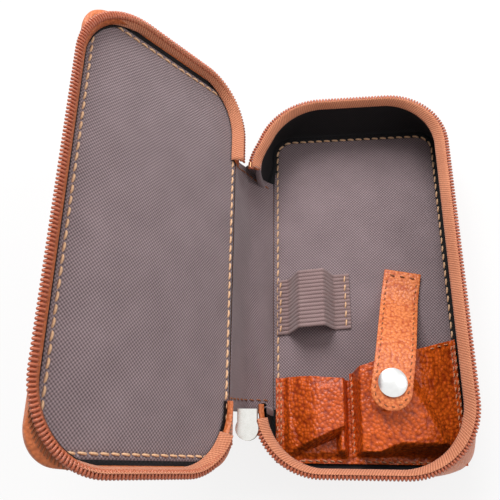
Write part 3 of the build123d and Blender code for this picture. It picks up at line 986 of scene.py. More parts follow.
@dataclass
class Tray(Shell):
    """The tray: bottom, walls and stitched floor.

    Args:
        wall_leather: thickness of the walls' leather.
        bottom_leather: thickness of the bottom's leather.
        proud: how far the leather's face stands outside the lining.
        bulge: how far the walls bulge outwards half-way up.
    """

    wall_leather: float = 1.2
    bottom_leather: float = 1.1
    proud: float = 1.9
    bulge: float = 1.2

    def profile(self, outside: float = 0.0, lift: float = 0.0) -> list[tuple[float, float, float]]:
        """Works out the rows of a wall: straight from floor to rim, bulged outwards by a half sine.

        Args:
            outside: how far outside the lining the rows lie.
            lift: how much higher they are.

        Returns:
            For each row its level, its share of the way to the rim, and its distance outside.
        """
        t = np.linspace(0, 1, WALL_ROWS)
        levels = FLOOR_TOP + lift + t * (WALL_TOP - FLOOR_TOP)
        return list(zip(levels, t, outside + self.bulge * np.sin(np.pi * t)))

    def build(self) -> list[bpy.types.Object]:
        """Makes the tray's shell and returns its pieces.

        The bottom is the panel's outline in rings, turned up at its edge, and the walls are rows between
        the panel's outline and the rim's.

        Returns:
            The pieces.
        """
        f = self.finishes
        path, out = self.panel.walk()
        edge = [(2.1, 1.5), (2.1, 0.9), (1.84, 0.3), (1.2, 0.0), (-6.0, 0.0)]
        rows = [at_level(path + out * off, level) for off, level in edge]
        rows += [rows[-1] * np.array([share, share, 1.0]) for share in (0.6, 0.3, 0.0)]
        bottom = welded(surface("tray_bottom", np.stack(rows), thickness=self.bottom_leather))
        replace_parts(f.dress(bottom, "outer", "outer_leather"), "base_bottom_leather")
        outside = [(1.3, 0.0, self.proud), *self.profile(self.proud), (29.1, 1.0, 2.79), (29.45, 1.0, 3.14)]
        grid = self.wall_grid(outside, SPINE_BACK, SPINE_FRONT)
        leather = surface("tray_wall", grid, thickness=-self.wall_leather)
        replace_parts(f.dress(leather, "outer", "outer_leather"), "base_wall_leather")
        # The lining's foot runs 3.4 mm in over the floor's margin, so its near-black cloth paints the shadow
        # that the leaning walls cast on that margin.
        inside = [(3.75, 0.0, -3.4), (4.1, 0.0, -1.8), (4.5, 0.0, -0.5), *self.profile()]
        lining = surface("tray_wall_lining", self.wall_grid(inside, SPINE_BACK, SPINE_FRONT))
        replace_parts(f.dress(lining, "wall", "lining_cloth"), "base_wall_lining")
        grid = self.panel_grid(FLOOR_TOP, 1.0, 0.15)
        floor = f.dress(surface("tray_floor_lining", grid, grid[..., :2]), "lining", "lining_cloth")
        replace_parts(floor, "base_floor_lining")
        line, up = self.panel_seam(FLOOR_TOP, 1.0)
        stitches = f.dress(seam("tray_floor_stitches", line, up, 4.2, 3.7, 0.48), "thread")
        pieces = [bottom, leather, lining, floor, stitches]
        near, far = (29.2, 1.0, 2.95), (27.4, 0.93, 2.2)
        pieces.append(self.sewing("tray_zip_sewing", near, far, SPINE_BACK, Body.TRAY))
        for piece in pieces:
            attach(piece, Body.TRAY.value)
        flat = (0.0848, sheet_area(floor) / 0.0848)
        sheet_area(lining) / 0.0285
        return pieces


@dataclass
class Lid(Shell):
    """The lid: rounded cover, short walls and padded stitched panel, drawn shut and turned open.

    Args:
        lining_level: level of the panel's face.
        back_level: level of the cover's face.
        rounding: radius of the cover's edge.
        wall_leather: thickness of the walls' leather.
        cover_leather: thickness of the cover's leather.
        proud: how far the leather's face stands outside the lining.
    """

    lining_level: float = 37.1
    back_level: float = 41.8
    rounding: float = 4.2
    wall_leather: float = 1.2
    cover_leather: float = 1.1
    proud: float = 1.9

    def build(self) -> list[bpy.types.Object]:
        """Makes the lid's shell and returns its pieces.

        The walls end in a quarter circle round to the cover, which is the panel's outline in rings.

        Returns:
            The pieces.
        """
        f = self.finishes
        seam_level = self.back_level - self.rounding
        turn = np.linspace(0, np.pi / 2, 9)[1:]
        rise, inwards = self.rounding * np.sin(turn), self.rounding * (1 - np.cos(turn))
        outside = [(34.55, 1.0, 3.14), (34.9, 1.0, 2.79), (35.25, 1.0, 1.9), (36.3, 0.4, 1.95)]
        outside += [(37.0, 0.05, self.proud), (seam_level, 0.0, self.proud)]
        rows = [*outside, *zip(seam_level + rise, np.zeros(8), self.proud - inwards)]
        grid = opened(self.wall_grid(rows, LID_BACK, SPINE_FRONT))
        wall = surface("lid_wall", grid, thickness=-self.wall_leather)
        f.dress(wall, "outer", "outer_leather")
        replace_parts(wall, "lid_wall_leather")
        path, out = self.panel.walk()
        inner = path + out * (2.1 - self.rounding)
        middle = np.array([self.panel.shift, 0.0])
        rings = [middle + (inner - middle) * share for share in (1.0, 0.8, 0.5, 0.2, 0.0)]
        back = opened(np.stack([at_level(ring, self.back_level) for ring in rings]))
        cover = welded(surface("lid_cover", back, thickness=-self.cover_leather))
        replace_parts(f.dress(cover, "outer", "outer_leather"), "lid_top_leather")
        # The near-black wall lining also paints the dark gap of shade between the lid's panel and its zip.
        inside = [(37.3, 0.0, -0.8), (37.2, 0.0, 0.0), (36.8, 0.5, 0.0), (36.5, 1.0, 0.0)]
        lining = surface("lid_wall_lining", opened(self.wall_grid(inside, LID_BACK, SPINE_FRONT)))
        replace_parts(f.dress(lining, "wall", "lining_cloth"), "lid_wall_lining")
        flat = self.panel_grid(self.lining_level, -1.0, 0.35)
        panel = f.dress(surface("lid_lining_panel", opened(flat), flat[..., :2]), "lining", "lining_cloth")
        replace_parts(panel, "lid_lining")
        line, down = self.panel_seam(self.lining_level, -1.0)
        stitches = seam("lid_stitches", opened(line), opened_way(down), 4.2, 3.7, 0.48)
        f.dress(stitches, "thread")
        pieces = [wall, cover, lining, panel, stitches]
        near, far = (34.8, 1.0, 2.95), (36.4, 0.36, 2.05)
        pieces.append(self.sewing("lid_zip_sewing", near, far, LID_BACK, Body.LID))
        for piece in pieces:
            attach(piece, Body.LID.value)
        flat_size = (0.0848, sheet_area(panel) / 0.0848)
        return pieces


@dataclass
class Spine:
    """The soft spine: a sheet of leather outside and of lining inside, bent at the fold.

    Args:
        finishes: the case's finishes.
        tray: the tray's shell, whose walls end at the spine.
        tray_zip: the tray's half of the zip.
        across: points across the spine.
        along: points along it.
        leather: x and z of the leather's curve, as far as the fold.
        cloth: x and z of the lining's curve, as far as the fold.
        on_lid: where the leather and the lining run on to, on the shut lid.
    """

    finishes: Finishes
    tray: Tray
    tray_zip: Zip
    across: int = 44
    along: int = 70
    leather: tuple = ((-43.4, 0.4), (-45.6, 3.6), (-50.4, 13.4), (-54.7, 20.6), (-57.6, 28.4))
    cloth: tuple = (
        (-42.3, 4.1), (-44.9, 7.6), (-48.8, 12.8), (-51.6, 16.6), (-53.3, 20.2), (-54.9, 26.0), (-56.0, 32.0)
    )
    on_lid: tuple = ((-47.9, 0.0, 41.8), (-44.8, 0.0, 41.95), (-47.5, 0.0, 37.05), (-46.9, 0.0, 36.95))

    def cross(self, knots: list[tuple[float, float]], low: Array, high: Array, soft: float) -> Array:
        """Returns a bent sheet: a curve across the spine, carried along it between two slanted ends.

        Args:
            knots: x and z of the curve, from the tray to the lid.
            low: y of the front end at each point of the curve.
            high: y of the back end at each point of the curve.
            soft: how uneven it is.

        Returns:
            Points (across, along, 3).
        """
        curve = curve_through(np.array(knots), self.across)
        share = np.linspace(0, 1, self.along)
        y = low[:, None] * (1 - share) + high[:, None] * share
        normal = unit(np.gradient(curve, axis=0))[:, ::-1] * np.array([-1.0, 1.0])
        arch = np.sin(np.linspace(0, np.pi, self.across))[:, None]
        bulge = ripple(y, curve[:, 1][:, None] * 1.6, soft) * arch
        x = curve[:, 0][:, None] + normal[:, 0][:, None] * bulge
        z = curve[:, 1][:, None] + normal[:, 1][:, None] * bulge
        return np.stack([x, y, z], axis=-1)

    def gusset(self, name: str, sheet_edge: Array, column: int) -> bpy.types.Object:
        """Makes the small web of lining that joins the end of a tray wall to the end of the spine's sheet.

        Each of its rows runs straight from the wall to the sheet and sags outwards a little between them.

        Args:
            name: the piece's name.
            sheet_edge: the sheet's end, from the floor up.
            column: 0 for the walls' back end, -1 for their front end.

        Returns:
            The piece.
        """
        way = 1 if column == 0 else -1
        wall = self.tray.wall_grid(self.tray.profile(), SPINE_BACK, SPINE_FRONT)[:, column]
        if column == 0:
            tape = self.tray_zip.tape_grid(SPINE_BACK, TRAY_ZIP_STOP, False)
            wall = np.concatenate([wall[:-1], tape[2:, 0]])
        wall = wall + np.array([0.2, 0.7 * way, 0.0])
        edges = []
        for edge in (wall, sheet_edge):
            run = lengths(edge)
            edges.append(sampled(edge, edge, np.linspace(0, run[-1], 26))[0])
        u = np.linspace(0, 1, 14)[None, :, None]
        grid = edges[0][:, None] * (1 - u) + edges[1][:, None] * u
        grid[..., 1] += 0.8 * np.sin(np.pi * u[..., 0]) * way
        return surface(name, grid, thickness=0.5)

    def binding(self, name: str, column: int) -> bpy.types.Object:
        """Makes the strip of lining that is folded round the end of a tray wall.

        Its rows are the wall's end moved from the lining's face, round the end, to the leather's face.

        Args:
            name: the piece's name.
            column: 0 for the walls' back end, -1 for their front end.

        Returns:
            The piece.
        """
        way = -1.0 if column == 0 else 1.0
        inside, outside = [(-0.3, -3.0), (-0.3, -0.2), (0.0, 0.4)], [(1.8, 0.4), (2.25, -0.2), (2.25, -1.6)]
        edges = []
        for out, past in (*inside, (0.8, 0.55), *outside):
            edge = self.tray.wall_grid(self.tray.profile(out, 0.3), SPINE_BACK, SPINE_FRONT)[:, column]
            edges.append(edge + np.array([0.0, past * way, 0.0]))
        return surface(name, np.stack(edges), thickness=0.2)

    def build(self) -> list[bpy.types.Object]:
        """Makes the spine and returns its pieces.

        Both sheets are a smooth curve across the spine, carried along it. Their back end is a straight
        slant with a squared sine on it.

        Returns:
            The spine's sheets, stitches and gussets.
        """
        f = self.finishes
        ends = [(p[0], p[2]) for p in opened(np.array(self.on_lid))]
        share = np.linspace(0, 1, self.across)
        back = 55.0 - 4.5 * share + 3.6 * np.sin(np.pi * share) ** 2
        grid = self.cross([*self.leather, *ends[:2]], np.full(self.across, -60.0), back, 0.35)
        leather = surface("spine_leather", grid, thickness=0.9)
        f.dress(leather, "outer", "outer_leather")
        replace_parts(leather, "spine_tray_leather", "spine_fold_leather")
        grid = self.cross([*self.cloth, *ends[2:]], -60.0 - 3.0 * share, back, 0.5)
        run = np.broadcast_to(lengths(grid[:, 0])[:, None], grid.shape[:2])
        flat = np.stack([grid[..., 1], run], axis=-1)
        lining = f.dress(surface("spine_lining", grid, flat), "lining", "lining_cloth")
        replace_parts(lining, "spine_tray_lining", "spine_fold_lining")
        pieces = [leather, lining]
        for name, column in (("spine_front_stitches", 3), ("spine_back_stitches", 67)):
            line = grid[4:40, column]
            along = unit(np.gradient(line, axis=0))
            out = unit(np.cross(along, np.array([0.0, 1.0, 0.0])))
            out = out * np.sign(out[:, :1])
            pieces.append(f.dress(seam(name, line, out, 4.0, 3.2, 0.36), "dark_thread"))
        for name, column, wall_column in (("spine_back_gusset", -1, 0), ("spine_front_gusset", 0, -1)):
            pieces.append(f.dress(self.gusset(name, grid[:26, column], wall_column), "lining"))
        for name, column in (("tray_back_binding", 0), ("tray_front_binding", -1)):
            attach(f.dress(self.binding(name, column), "lining"), Body.TRAY.value)
        for piece in pieces:
            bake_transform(piece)
        flat_size = (0.12, sheet_area(lining) / 0.12)
        return pieces


@dataclass
class ElasticLoop:
    """The ribbed elastic loop, sewn down at both ends.

    Args:
        finishes: the case's finishes.
        ribs: number of ribs across its width.
        width: size along the spine.
        left: where its left foot ends, across the spine.
        right: where its right foot ends.
        front: y of its front edge at the left foot.
        slant: how far back it runs for each millimetre to the right.
        foot: height of its face where it is sewn.
        arch: height of the arch above its feet.
        thickness: thickness of the band.
    """

    finishes: Finishes
    ribs: int = 15
    width: float = 27.3
    left: float = -40.0
    right: float = -5.5
    front: float = -25.0
    slant: float = 0.083
    foot: float = 5.25
    arch: float = 12.3
    thickness: float = 0.9

    def place(self, x: Array, y: Array, z: Array) -> Array:
        """Returns points of the loop where it lies, its right foot sewn a little farther back."""
        return np.stack([x, self.front + y + (x - self.left) * self.slant, z], axis=-1)

    def height(self, x: Array) -> Array:
        """Returns the height of the face: a ramp up, a flat top and a ramp down between flat feet."""
        rise = smooth((x + 35.6) / 6.8) * smooth((-12.2 - x) / 6.4)
        return self.foot + self.arch * rise

    def build(self) -> list[bpy.types.Object]:
        """Makes the loop with its stitches and returns its pieces.

        The ribs are the absolute value of a sine along the spine, on the height of the arch.

        Returns:
            The band and its stitches.
        """
        x = np.linspace(self.left, self.right, 90)[:, None]
        y = np.linspace(0, self.width, self.ribs * 8 + 1)[None, :]
        rib = 0.62 * np.abs(np.sin(np.pi * self.ribs * y / self.width)) ** 0.6 - 0.55
        slack = 0.4 * np.sin(y / self.width * np.pi) * smooth((x + 34) / 6.0) * smooth((-13 - x) / 6.0)
        z = self.height(x) + rib + slack
        grid = self.place(*np.broadcast_arrays(x, y, z))
        run = lengths(np.stack([x[:, 0], self.height(x)[:, 0]], axis=-1))
        flat = np.stack(np.broadcast_arrays(run[:, None], y), axis=-1)
        band = surface("elastic_loop_band", grid, flat, thickness=-self.thickness)
        self.finishes.dress(band, "elastic", "elastic_band")
        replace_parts(band, "elastic_loop")
        pieces = [band]
        line = np.linspace(0.8, self.width - 0.8, 30)
        for side, at in (("left", self.left + 1.4), ("right", self.right - 2.2)):
            path = self.place(np.full(30, at), line, np.full(30, 5.35))
            row = seam(f"elastic_{side}_stitches", path, upward(path), 3.9, 3.3, 0.42)
            pieces.append(self.finishes.dress(row, "thread"))
        for piece in pieces:
            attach(piece, Body.TRAY.value)
        return pieces


@dataclass
class Pocket:
    """A leather pocket as a height field: margins sewn flat, steep sides and a soft crown, open at its mouth.

    Args:
        finishes: the case's finishes.
        name: the piece's name.
        node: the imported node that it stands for.
        left: its left edge.
        right: its right edge.
        foot: y of its sewn foot.
        margin_level: height of the face at its sewn margins.
        thickness: thickness of the leather.
        points: points across it, and from foot to mouth.
    """

    finishes: Finishes
    name: str
    node: str
    left: float
    right: float
    foot: float = -81.8
    margin_level: float = 5.3
    thickness: float = 1.1
    points: int = 150

    def mouth(self, x: Array) -> Array:
        """Returns the y of the mouth's edge at each x."""
        raise NotImplementedError

    def rise(self, x: Array, y: Array) -> Array:
        """Returns how far the face stands above the margins."""
        raise NotImplementedError

    def seams(self) -> list[Array]:
        """Returns the flat paths of its rows of stitches."""
        raise NotImplementedError

    def face(self, x: Array, y: Array) -> Array:
        """Returns the height of the face, with the small folds of soft leather.

        Args:
            x: across the spine.
            y: along the spine.

        Returns:
            Heights, in the same shape.
        """
        lift = self.rise(x, y)
        folds = ripple(x * 2.3, y * 2.6, 0.28) + ripple(y * 4.1, x * 3.3 + y, 0.14)
        creases = ripple(x * 7.0 + y * 0.6, y * 1.1, 0.30) * smooth((9.0 - lift) / 4.0)
        return self.margin_level + lift + (folds + creases) * (0.25 + 0.75 * smooth(lift / 3.0))

    def build(self) -> list[bpy.types.Object]:
        """Makes the pocket with its stitches and returns its pieces.

        Its rows run from the foot to the mouth's edge, at the height of the face.

        Returns:
            The leather and its stitches.
        """
        x = np.linspace(self.left, self.right, self.points)[None, :]
        t = np.linspace(0, 1, self.points)[:, None]
        y = self.foot + t * (self.mouth(x) - self.foot)
        x, y = np.broadcast_arrays(x, y)
        grid = np.stack([x, y, self.face(x, y)], axis=-1)
        leather = surface(self.name, grid, grid[..., :2], thickness=self.thickness)
        self.finishes.dress(leather, "pocket", "pocket_leather")
        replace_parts(leather, self.node)
        pieces = [leather]
        for k, path in enumerate(self.seams()):
            line = np.concatenate([path, self.face(path[:, 0], path[:, 1])[:, None]], axis=1)
            row = seam(f"{self.name}_stitches_{k}", line, upward(line), 3.0, 2.2, 0.36)
            pieces.append(self.finishes.dress(row, "pale_thread"))
        for piece in pieces:
            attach(piece, Body.TRAY.value)
        return pieces


def run_between(*knots: tuple[float, float]) -> Array:
    """Returns a path of straight runs between flat points."""
    pieces = [np.linspace(a, b, 30) for a, b in zip(knots[:-1], knots[1:])]
    return np.concatenate(pieces)


class SmallPocket(Pocket):
    """The small pocket: it rises from its left margin to a crown, with a slanting fold at its foot."""

    def mouth(self, x: Array) -> Array:
        """Returns the y of the mouth's edge: level, with a small ramp down to the right."""
        return -45.0 - 1.2 * smooth((x + 30.0) / 20.0)

    def rise(self, x: Array, y: Array) -> Array:
        """Returns how far the face stands above the margins.

        It is the highest of three forms: the crown, which is two ramps up and one down, cut off by a ramp
        at a slanting line near the foot, a low gusset beside it, and a tucked fold at the right of the
        foot.

        Args:
            x: across the spine.
            y: along the spine.

        Returns:
            Heights, in the same shape.
        """
        left = smooth((x + 37.6) / 3.0) * 3.2 + smooth((x + 36.0) / 15.0) * 6.6
        right = smooth((-8.6 - x) / 2.4)
        crown = left * (1.0 - 0.10 * smooth((y + 52.0) / 8.0)) * right
        line = y + 81.6 - (x + 37.0) * 0.43
        body = crown * smooth(line / 4.5) ** 0.7
        gusset = 1.6 * smooth((x + 34.0) / 6.0) * smooth((y + 80.0) / 3.0) * right
        tuck = 6.6 * smooth((x + 15.4) / 3.4) * smooth((-8.8 - x) / 2.4) * smooth((y + 80.0) / 4.0)
        tuck = tuck * smooth((-68.0 - y) / 2.0 + 1.0)
        return np.maximum(np.maximum(body, gusset), tuck)

    def seams(self) -> list[Array]:
        """Returns the flat paths of its rows of stitches.

        Returns:
            Flat paths (n, 2).
        """
        return [
            run_between((-40.2, -46.5), (-40.2, -78.5)),
            run_between((-38.6, -46.5), (-38.6, -77.5)),
            run_between((-37.0, -80.7), (-11.5, -80.7)),
        ]


class LargePocket(Pocket):
    """The large pocket: a high crown on the left that drops at a slanting crease to a flatter side panel."""

    def mouth(self, x: Array) -> Array:
        """Returns the y of the mouth's edge: a straight slope up to the right, and a small ramp at the left."""
        return -42.3 + 14.4 * np.clip((x + 5.5) / 46.0, 0.0, 1.0) - 0.8 * smooth((-4.0 - x) / 3.0)

    def rise(self, x: Array, y: Array) -> Array:
        """Returns how far the face stands above the margins.

        The crown is a low parabola. A ramp at a slanting crease leads down to a side panel with a straight
        slope, and ramps close the left side and the foot.

        Args:
            x: across the spine.
            y: along the spine.

        Returns:
            Heights, in the same shape.
        """
        left = smooth((x + 6.4) / 3.0)
        crease = 22.1 + (-48.0 - y) * 0.565
        crown = 13.6 - 0.10 * np.maximum(-45.0 - y, 0.0) - 0.0045 * (x - 9.0) ** 2
        side = 0.6 + 6.6 * np.clip((38.0 - x) / 15.0, 0.0, 1.0)
        over = smooth((crease - x) / 6.0)
        body = side + (crown - side) * over
        front = smooth((y + 79.0) / (2.4 + 4.0 * smooth((x - 2.0) / 12.0)))
        return body * left * front

    def seams(self) -> list[Array]:
        """Returns the flat paths of its rows of stitches.

        Returns:
            Flat paths (n, 2).
        """
        return [
            run_between((-6.6, -44.0), (-6.6, -78.0)),
            run_between((38.6, -30.5), (38.6, -76.0)),
            run_between((40.0, -30.0), (40.0, -74.0)),
            run_between((-2.0, -80.8), (35.0, -80.8)),
            run_between((28.0, -33.2), (38.0, -30.0)),
        ]


@dataclass
class Strap:
    """The snap strap: sewn at one end, arched over the large pocket, with a round tip.

    Args:
        finishes: the case's finishes.
        end: x and y of the middle of its sewn end.
        turn: where it points, in degrees from the direction across the spine.
        length: its length.
        width: its width.
        thickness: height of its face above the curve of its underside.
        leather: thickness of the sheet that is drawn.
        stitch_inset: how far inside its edge the stitches run.
        underside: run along the strap and height of its underside's curve.
    """

    finishes: Finishes
    end: tuple[float, float] = (20.0, 4.8)
    turn: float = -101.0
    length: float = 67.0
    width: float = 17.0
    thickness: float = 2.0
    leather: float = 1.7
    stitch_inset: float = 1.7
    underside: tuple = (
        (-2, 4.1), (8.4, 4.1), (16.08, 5.94), (30.15, 14.04), (42.88, 20.3), (55.5, 22.5), (67.2, 21.65)
    )

    def place(self, s: Array, v: Array, z: Array) -> Array:
        """Returns points given by the run along the strap, the distance across it and the height."""
        c, d = math.cos(math.radians(self.turn)), math.sin(math.radians(self.turn))
        return np.stack([self.end[0] + s * c - v * d, self.end[1] + s * d + v * c, z], axis=-1)

    def top(self, s: Array) -> Array:
        """Returns the height of the strap's face: flat where it is sewn, then arched up to the snap."""
        fine = curve_through(np.array(self.underside), 200)
        return np.interp(s, fine[:, 0], fine[:, 1]) + self.thickness

    def half(self, s: Array) -> Array:
        """Returns half the strap's width: straight, then a half circle round the tip.

        Args:
            s: along the strap.

        Returns:
            Half widths, in the same shape.
        """
        r = self.width / 2
        past = np.clip(s - (self.length - r), 0.0, r)
        return np.sqrt(np.maximum(r**2 - past**2, 0.02))

    def build(self) -> list[bpy.types.Object]:
        """Makes the strap with its stitches and returns its pieces.

        The rows follow the run along the strap. Across it they follow a sine to half the width, with an
        edge that falls off by an exponential.

        Returns:
            The strap and its stitches.
        """
        f, r = self.finishes, self.width / 2
        straight = self.length - r
        tip = straight + r * np.sin(np.linspace(0, 1.57, 22))
        s = np.concatenate([np.linspace(0, straight, 60), tip[1:]])
        v = np.sin(np.linspace(-1.57, 1.57, 27))
        s, v = s[:, None], v[None, :]
        across = v * self.half(s)
        edge = self.half(s) - np.abs(across)
        z = self.top(s) - 0.35 * np.exp(-edge / 0.5) + ripple(s * 1.4, across * 2.0, 0.10)
        grid = self.place(*np.broadcast_arrays(s, across, z))
        flat = np.stack(np.broadcast_arrays(s, across), axis=-1)
        sheet = surface("snap_strap", grid, flat, thickness=-self.leather)
        # Painted highlight: the strap wears the lighter, pinker copy of the pocket leather.
        f.dress(sheet, "strap", "pocket_leather")
        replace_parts(sheet, "strap_sewn_end", "strap_leather", "strap_lining")
        side, turn = np.linspace(4.5, straight, 60), np.linspace(0, np.pi, 40)
        inner = r - self.stitch_inset
        run = np.concatenate([side, straight + inner * np.sin(turn), side[::-1]])
        off = np.concatenate([np.full(60, inner), inner * np.cos(turn), np.full(60, -inner)])
        path = self.place(run, off, self.top(run) - 0.05)
        root = np.full(20, 2.6)
        root_path = self.place(root, np.linspace(-6.8, 6.8, 20), self.top(root))
        rows = [
            seam("strap_stitches", path, upward(path), 3.1, 1.7, 0.26),
            seam("strap_root_stitches", root_path, upward(root_path), 3.4, 2.6, 0.4),
        ]
        rows = [f.dress(row, "dark_thread") for row in rows]
        start = self.place(np.array(6.4), np.array(0.0), np.array(5.0)) * MM
        end = self.place(np.array(12.0), np.array(0.0), np.array(5.0)) * MM
        for piece in [sheet, *rows]:
            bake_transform(piece)
        return [sheet, *rows]


@dataclass
class PullTab:
    """The leather tab that hangs from the slider's ring.

    Args:
        finishes: the case's finishes.
        middle: x and y of its middle line.
        top: height of the ring's middle.
        drop: how far below it the tab ends.
        width: its width.
        thickness: its thickness.
    """

    finishes: Finishes
    middle: tuple[float, float] = (-50.6, -67.3)
    top: float = 19.8
    drop: float = 16.0
    width: float = 7.6
    thickness: float = 2.5

    def build(self) -> list[bpy.types.Object]:
        """Makes the tab: rings of a flattened oval, narrow at the ring and rounded at the end.

        Returns:
            The tab.
        """
        t = np.linspace(0, 1, 40)
        width = self.width / 2 * (0.34 + 0.66 * smooth((t - 0.10) / 0.12))
        width = width * np.sqrt(np.clip(1 - np.clip((t - 0.86) / 0.14, 0, 1) ** 2, 0.02, 1))
        depth = self.thickness / 2 * np.sqrt(np.clip(1 - np.clip((t - 0.93) / 0.07, 0, 1) ** 2, 0.02, 1))
        depth = depth * np.sqrt(np.clip(1 - np.clip(1 - t / 0.06, 0, 1) ** 2, 0.02, 1))
        angle = np.linspace(0, 2 * np.pi, 33)
        c, s = np.cos(angle), np.sin(angle)
        x = self.middle[0] + width[:, None] * np.sign(c) * np.abs(c) ** 0.5
        y = self.middle[1] + depth[:, None] * np.sign(s) * np.abs(s) ** 0.5
        z = np.broadcast_to((self.top + 1.0 - t * (self.drop + 1.0))[:, None], x.shape)
        tab = surface("pull_leather", np.stack([x, y, z], axis=-1))
        self.finishes.dress(tab, "outer", "outer_leather")
        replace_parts(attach(tab, Body.PULL.value), "pull_tab")
        return [tab]


@dataclass
class Hardware:
    """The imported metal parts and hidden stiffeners, which keep their own shapes and get their finishes.

    Args:
        finishes: the case's finishes.
        nodes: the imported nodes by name.
    """

    finishes: Finishes
    nodes: dict

    def build(self) -> list[bpy.types.Object]:
        """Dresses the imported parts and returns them.

        Returns:
            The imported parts.
        """
        wanted = {
            "snap_cap": ("cap", "snap_metal"),
            "snap_socket": ("steel", "snap_metal"),
            "snap_stud": ("steel", "snap_metal"),
            "zip_slider": ("steel", "slider_metal"),
            "pull_ring": ("steel", "slider_metal"),
            "base_board": ("board", "stiffener"),
            "lid_board": ("board", "stiffener"),
            "lid_padding": ("foam", "foam"),
        }
        for node, (finish, slot) in wanted.items():
            self.finishes.dress(self.nodes[node], finish, slot)
        return [self.nodes[node] for node in wanted]


# ---------------------------------------------------------------- the studio


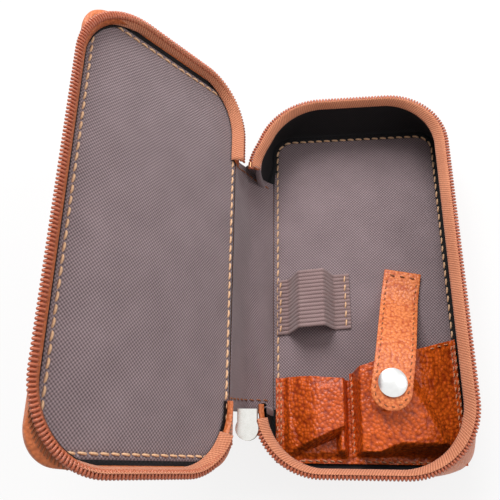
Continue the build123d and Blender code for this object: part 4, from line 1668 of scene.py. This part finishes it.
@dataclass
class Studio:
    """The camera at the photograph's place, a pale floor and soft light.

    Args:
        lens: focal length in millimetres, on a sensor 36 mm wide.
        place: the camera's place, in metres.
        turn: the camera's turn about z, y and x.
        sky: light that the even sky gives.
        paint: how pale the floor is.
        glow: how much of the floor is plain white where it is seen.
        aim: what both lamps point at.
    """

    lens: float = 41.13
    place: tuple[float, float, float] = (-0.019659, -0.082385, 0.272601)
    turn: tuple[float, float, float] = (0.36114571, 0.11951668, -0.02926373)
    sky: float = 0.42
    paint: float = 0.86
    glow: float = 0.82
    aim: tuple[float, float, float] = (-0.02, 0.0, 0.02)

    def camera(self) -> None:
        """Makes the camera."""
        data = bpy.data.cameras.new("camera")
        data.sensor_width = 36.0
        data.lens = self.lens
        data.clip_start = 0.01
        camera = bpy.data.objects.new("camera", data)
        bpy.context.scene.collection.objects.link(camera)
        camera.location = self.place
        camera.rotation_mode = "ZYX"
        camera.rotation_euler = self.turn
        bpy.context.scene.camera = camera

    def lamp(self, name: str, place: tuple, size: float, power: float) -> None:
        """Makes one soft lamp.

        Args:
            name: the lamp's name.
            place: where it stands, in metres.
            size: its width.
            power: its power in watts.
        """
        data = bpy.data.lights.new(name, "AREA")
        data.size = size
        data.energy = power
        lamp = bpy.data.objects.new(name, data)
        bpy.context.scene.collection.objects.link(lamp)
        lamp.location = place
        away = lamp.location - type(lamp.location)(self.aim)
        lamp.rotation_euler = away.to_track_quat("Z", "Y").to_euler()

    def seen(self, tree: bpy.types.NodeTree) -> bpy.types.NodeSocket:
        """Returns 1 for what the camera sees itself, in a mirror or through glass, and 0 for light.

        Args:
            tree: the node tree that it is used in.

        Returns:
            The value, as a node's output.
        """
        path = tree.nodes.new("ShaderNodeLightPath")
        total = path.outputs["Is Camera Ray"]
        for name in ("Is Glossy Ray", "Is Transmission Ray"):
            node = tree.nodes.new("ShaderNodeMath")
            node.operation = "MAXIMUM"
            tree.links.new(total, node.inputs[0])
            tree.links.new(path.outputs[name], node.inputs[1])
            total = node.outputs[0]
        return total

    def world(self) -> None:
        """Makes an even pale sky that is white where it is seen."""
        world = bpy.data.worlds.new("world")
        bpy.context.scene.world = world
        world.use_nodes = True
        tree = world.node_tree
        back = tree.nodes["Background"]
        back.inputs["Color"].default_value = (1.0, 1.0, 1.0, 1.0)
        level = tree.nodes.new("ShaderNodeMapRange")
        tree.links.new(self.seen(tree), level.inputs["Value"])
        level.inputs["To Min"].default_value = self.sky
        level.inputs["To Max"].default_value = 1.0
        tree.links.new(level.outputs[0], back.inputs["Strength"])

    def floor(self) -> None:
        """Makes the pale floor, white where it is seen and still a little shaded by the case."""
        bpy.ops.mesh.primitive_plane_add(size=4.0, location=(0.0, 0.0, -0.0002))
        floor = bpy.context.active_object
        floor.name = "floor"
        material = bpy.data.materials.new("floor")
        material.use_nodes = True
        tree = material.node_tree
        tree.nodes.clear()
        matt = tree.nodes.new("ShaderNodeBsdfDiffuse")
        matt.inputs["Color"].default_value = (self.paint, self.paint, self.paint, 1.0)
        white = tree.nodes.new("ShaderNodeEmission")
        mix = tree.nodes.new("ShaderNodeMixShader")
        share = tree.nodes.new("ShaderNodeMath")
        share.operation = "MULTIPLY"
        tree.links.new(self.seen(tree), share.inputs[0])
        share.inputs[1].default_value = self.glow
        output = tree.nodes.new("ShaderNodeOutputMaterial")
        tree.links.new(share.outputs[0], mix.inputs[0])
        tree.links.new(matt.outputs[0], mix.inputs[1])
        tree.links.new(white.outputs[0], mix.inputs[2])
        tree.links.new(mix.outputs[0], output.inputs[0])
        floor.data.materials.append(material)

    def build(self) -> None:
        """Makes the camera, the floor and the lights."""
        bpy.context.scene.view_settings.view_transform = "Standard"
        self.camera()
        self.world()
        self.floor()
        self.lamp("key", (-0.12, 0.42, 0.52), 0.38, 4.2)
        self.lamp("side", (0.45, 0.05, 0.45), 0.35, 0.9)


def main(frame: dict) -> None:
    """Builds the case, piece by piece, and the studio round it.
    """
    logging.basicConfig(level=logging.INFO, format="%(message)s")
    finishes = Finishes()
    panel = Outline(84.8, 165.0, 0.0, (10.5,) * 4)
    lid_panel = Outline(84.8, 165.0, -5.05, (10.5,) * 4)
    tray_rim = Outline(91.6, 176.0, -3.35, (32.0, 27.5, 31.0, 28.0))
    lid_rim = Outline(92.8, 176.0, -2.75, (26.5, 32.0, 31.5, 26.5))
    tray_zip, lid_zip = Zip(finishes, tray_rim), Zip(finishes, lid_rim, coil_width=3.5)
    tray = Tray(finishes, panel, tray_rim)
    pieces = tray.build()
    pieces += tray_zip.build(Body.TRAY, "base", SPINE_BACK, TRAY_ZIP_STOP)
    pieces += Lid(finishes, lid_panel, lid_rim, drawn=False).build()
    pieces += lid_zip.build(Body.LID, "lid", LID_BACK, LID_ZIP_STOP)
    pieces += Spine(finishes, tray, tray_zip).build()
    pieces += ElasticLoop(finishes).build()
    pieces += SmallPocket(finishes, "small_leather_pocket", "small_pocket", -41.0, -7.6).build()
    pieces += LargePocket(finishes, "large_leather_pocket", "large_pocket", -7.5, 40.5).build()
    pieces += Strap(finishes).build()
    pieces += PullTab(finishes).build()
    pieces += Hardware(finishes, frame["nodes"]).build()
    Studio().build()
    for piece in pieces:
        LOG.info("%s: %d faces", piece.name, len(piece.data.polygons))


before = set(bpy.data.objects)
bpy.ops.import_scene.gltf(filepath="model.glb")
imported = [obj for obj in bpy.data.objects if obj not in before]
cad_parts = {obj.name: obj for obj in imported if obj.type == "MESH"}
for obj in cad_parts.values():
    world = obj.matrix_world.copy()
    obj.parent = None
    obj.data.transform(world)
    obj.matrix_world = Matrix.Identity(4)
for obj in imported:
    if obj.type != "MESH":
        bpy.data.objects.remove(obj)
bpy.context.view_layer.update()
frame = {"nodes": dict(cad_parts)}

if __name__ == "__main__":
    main(frame)
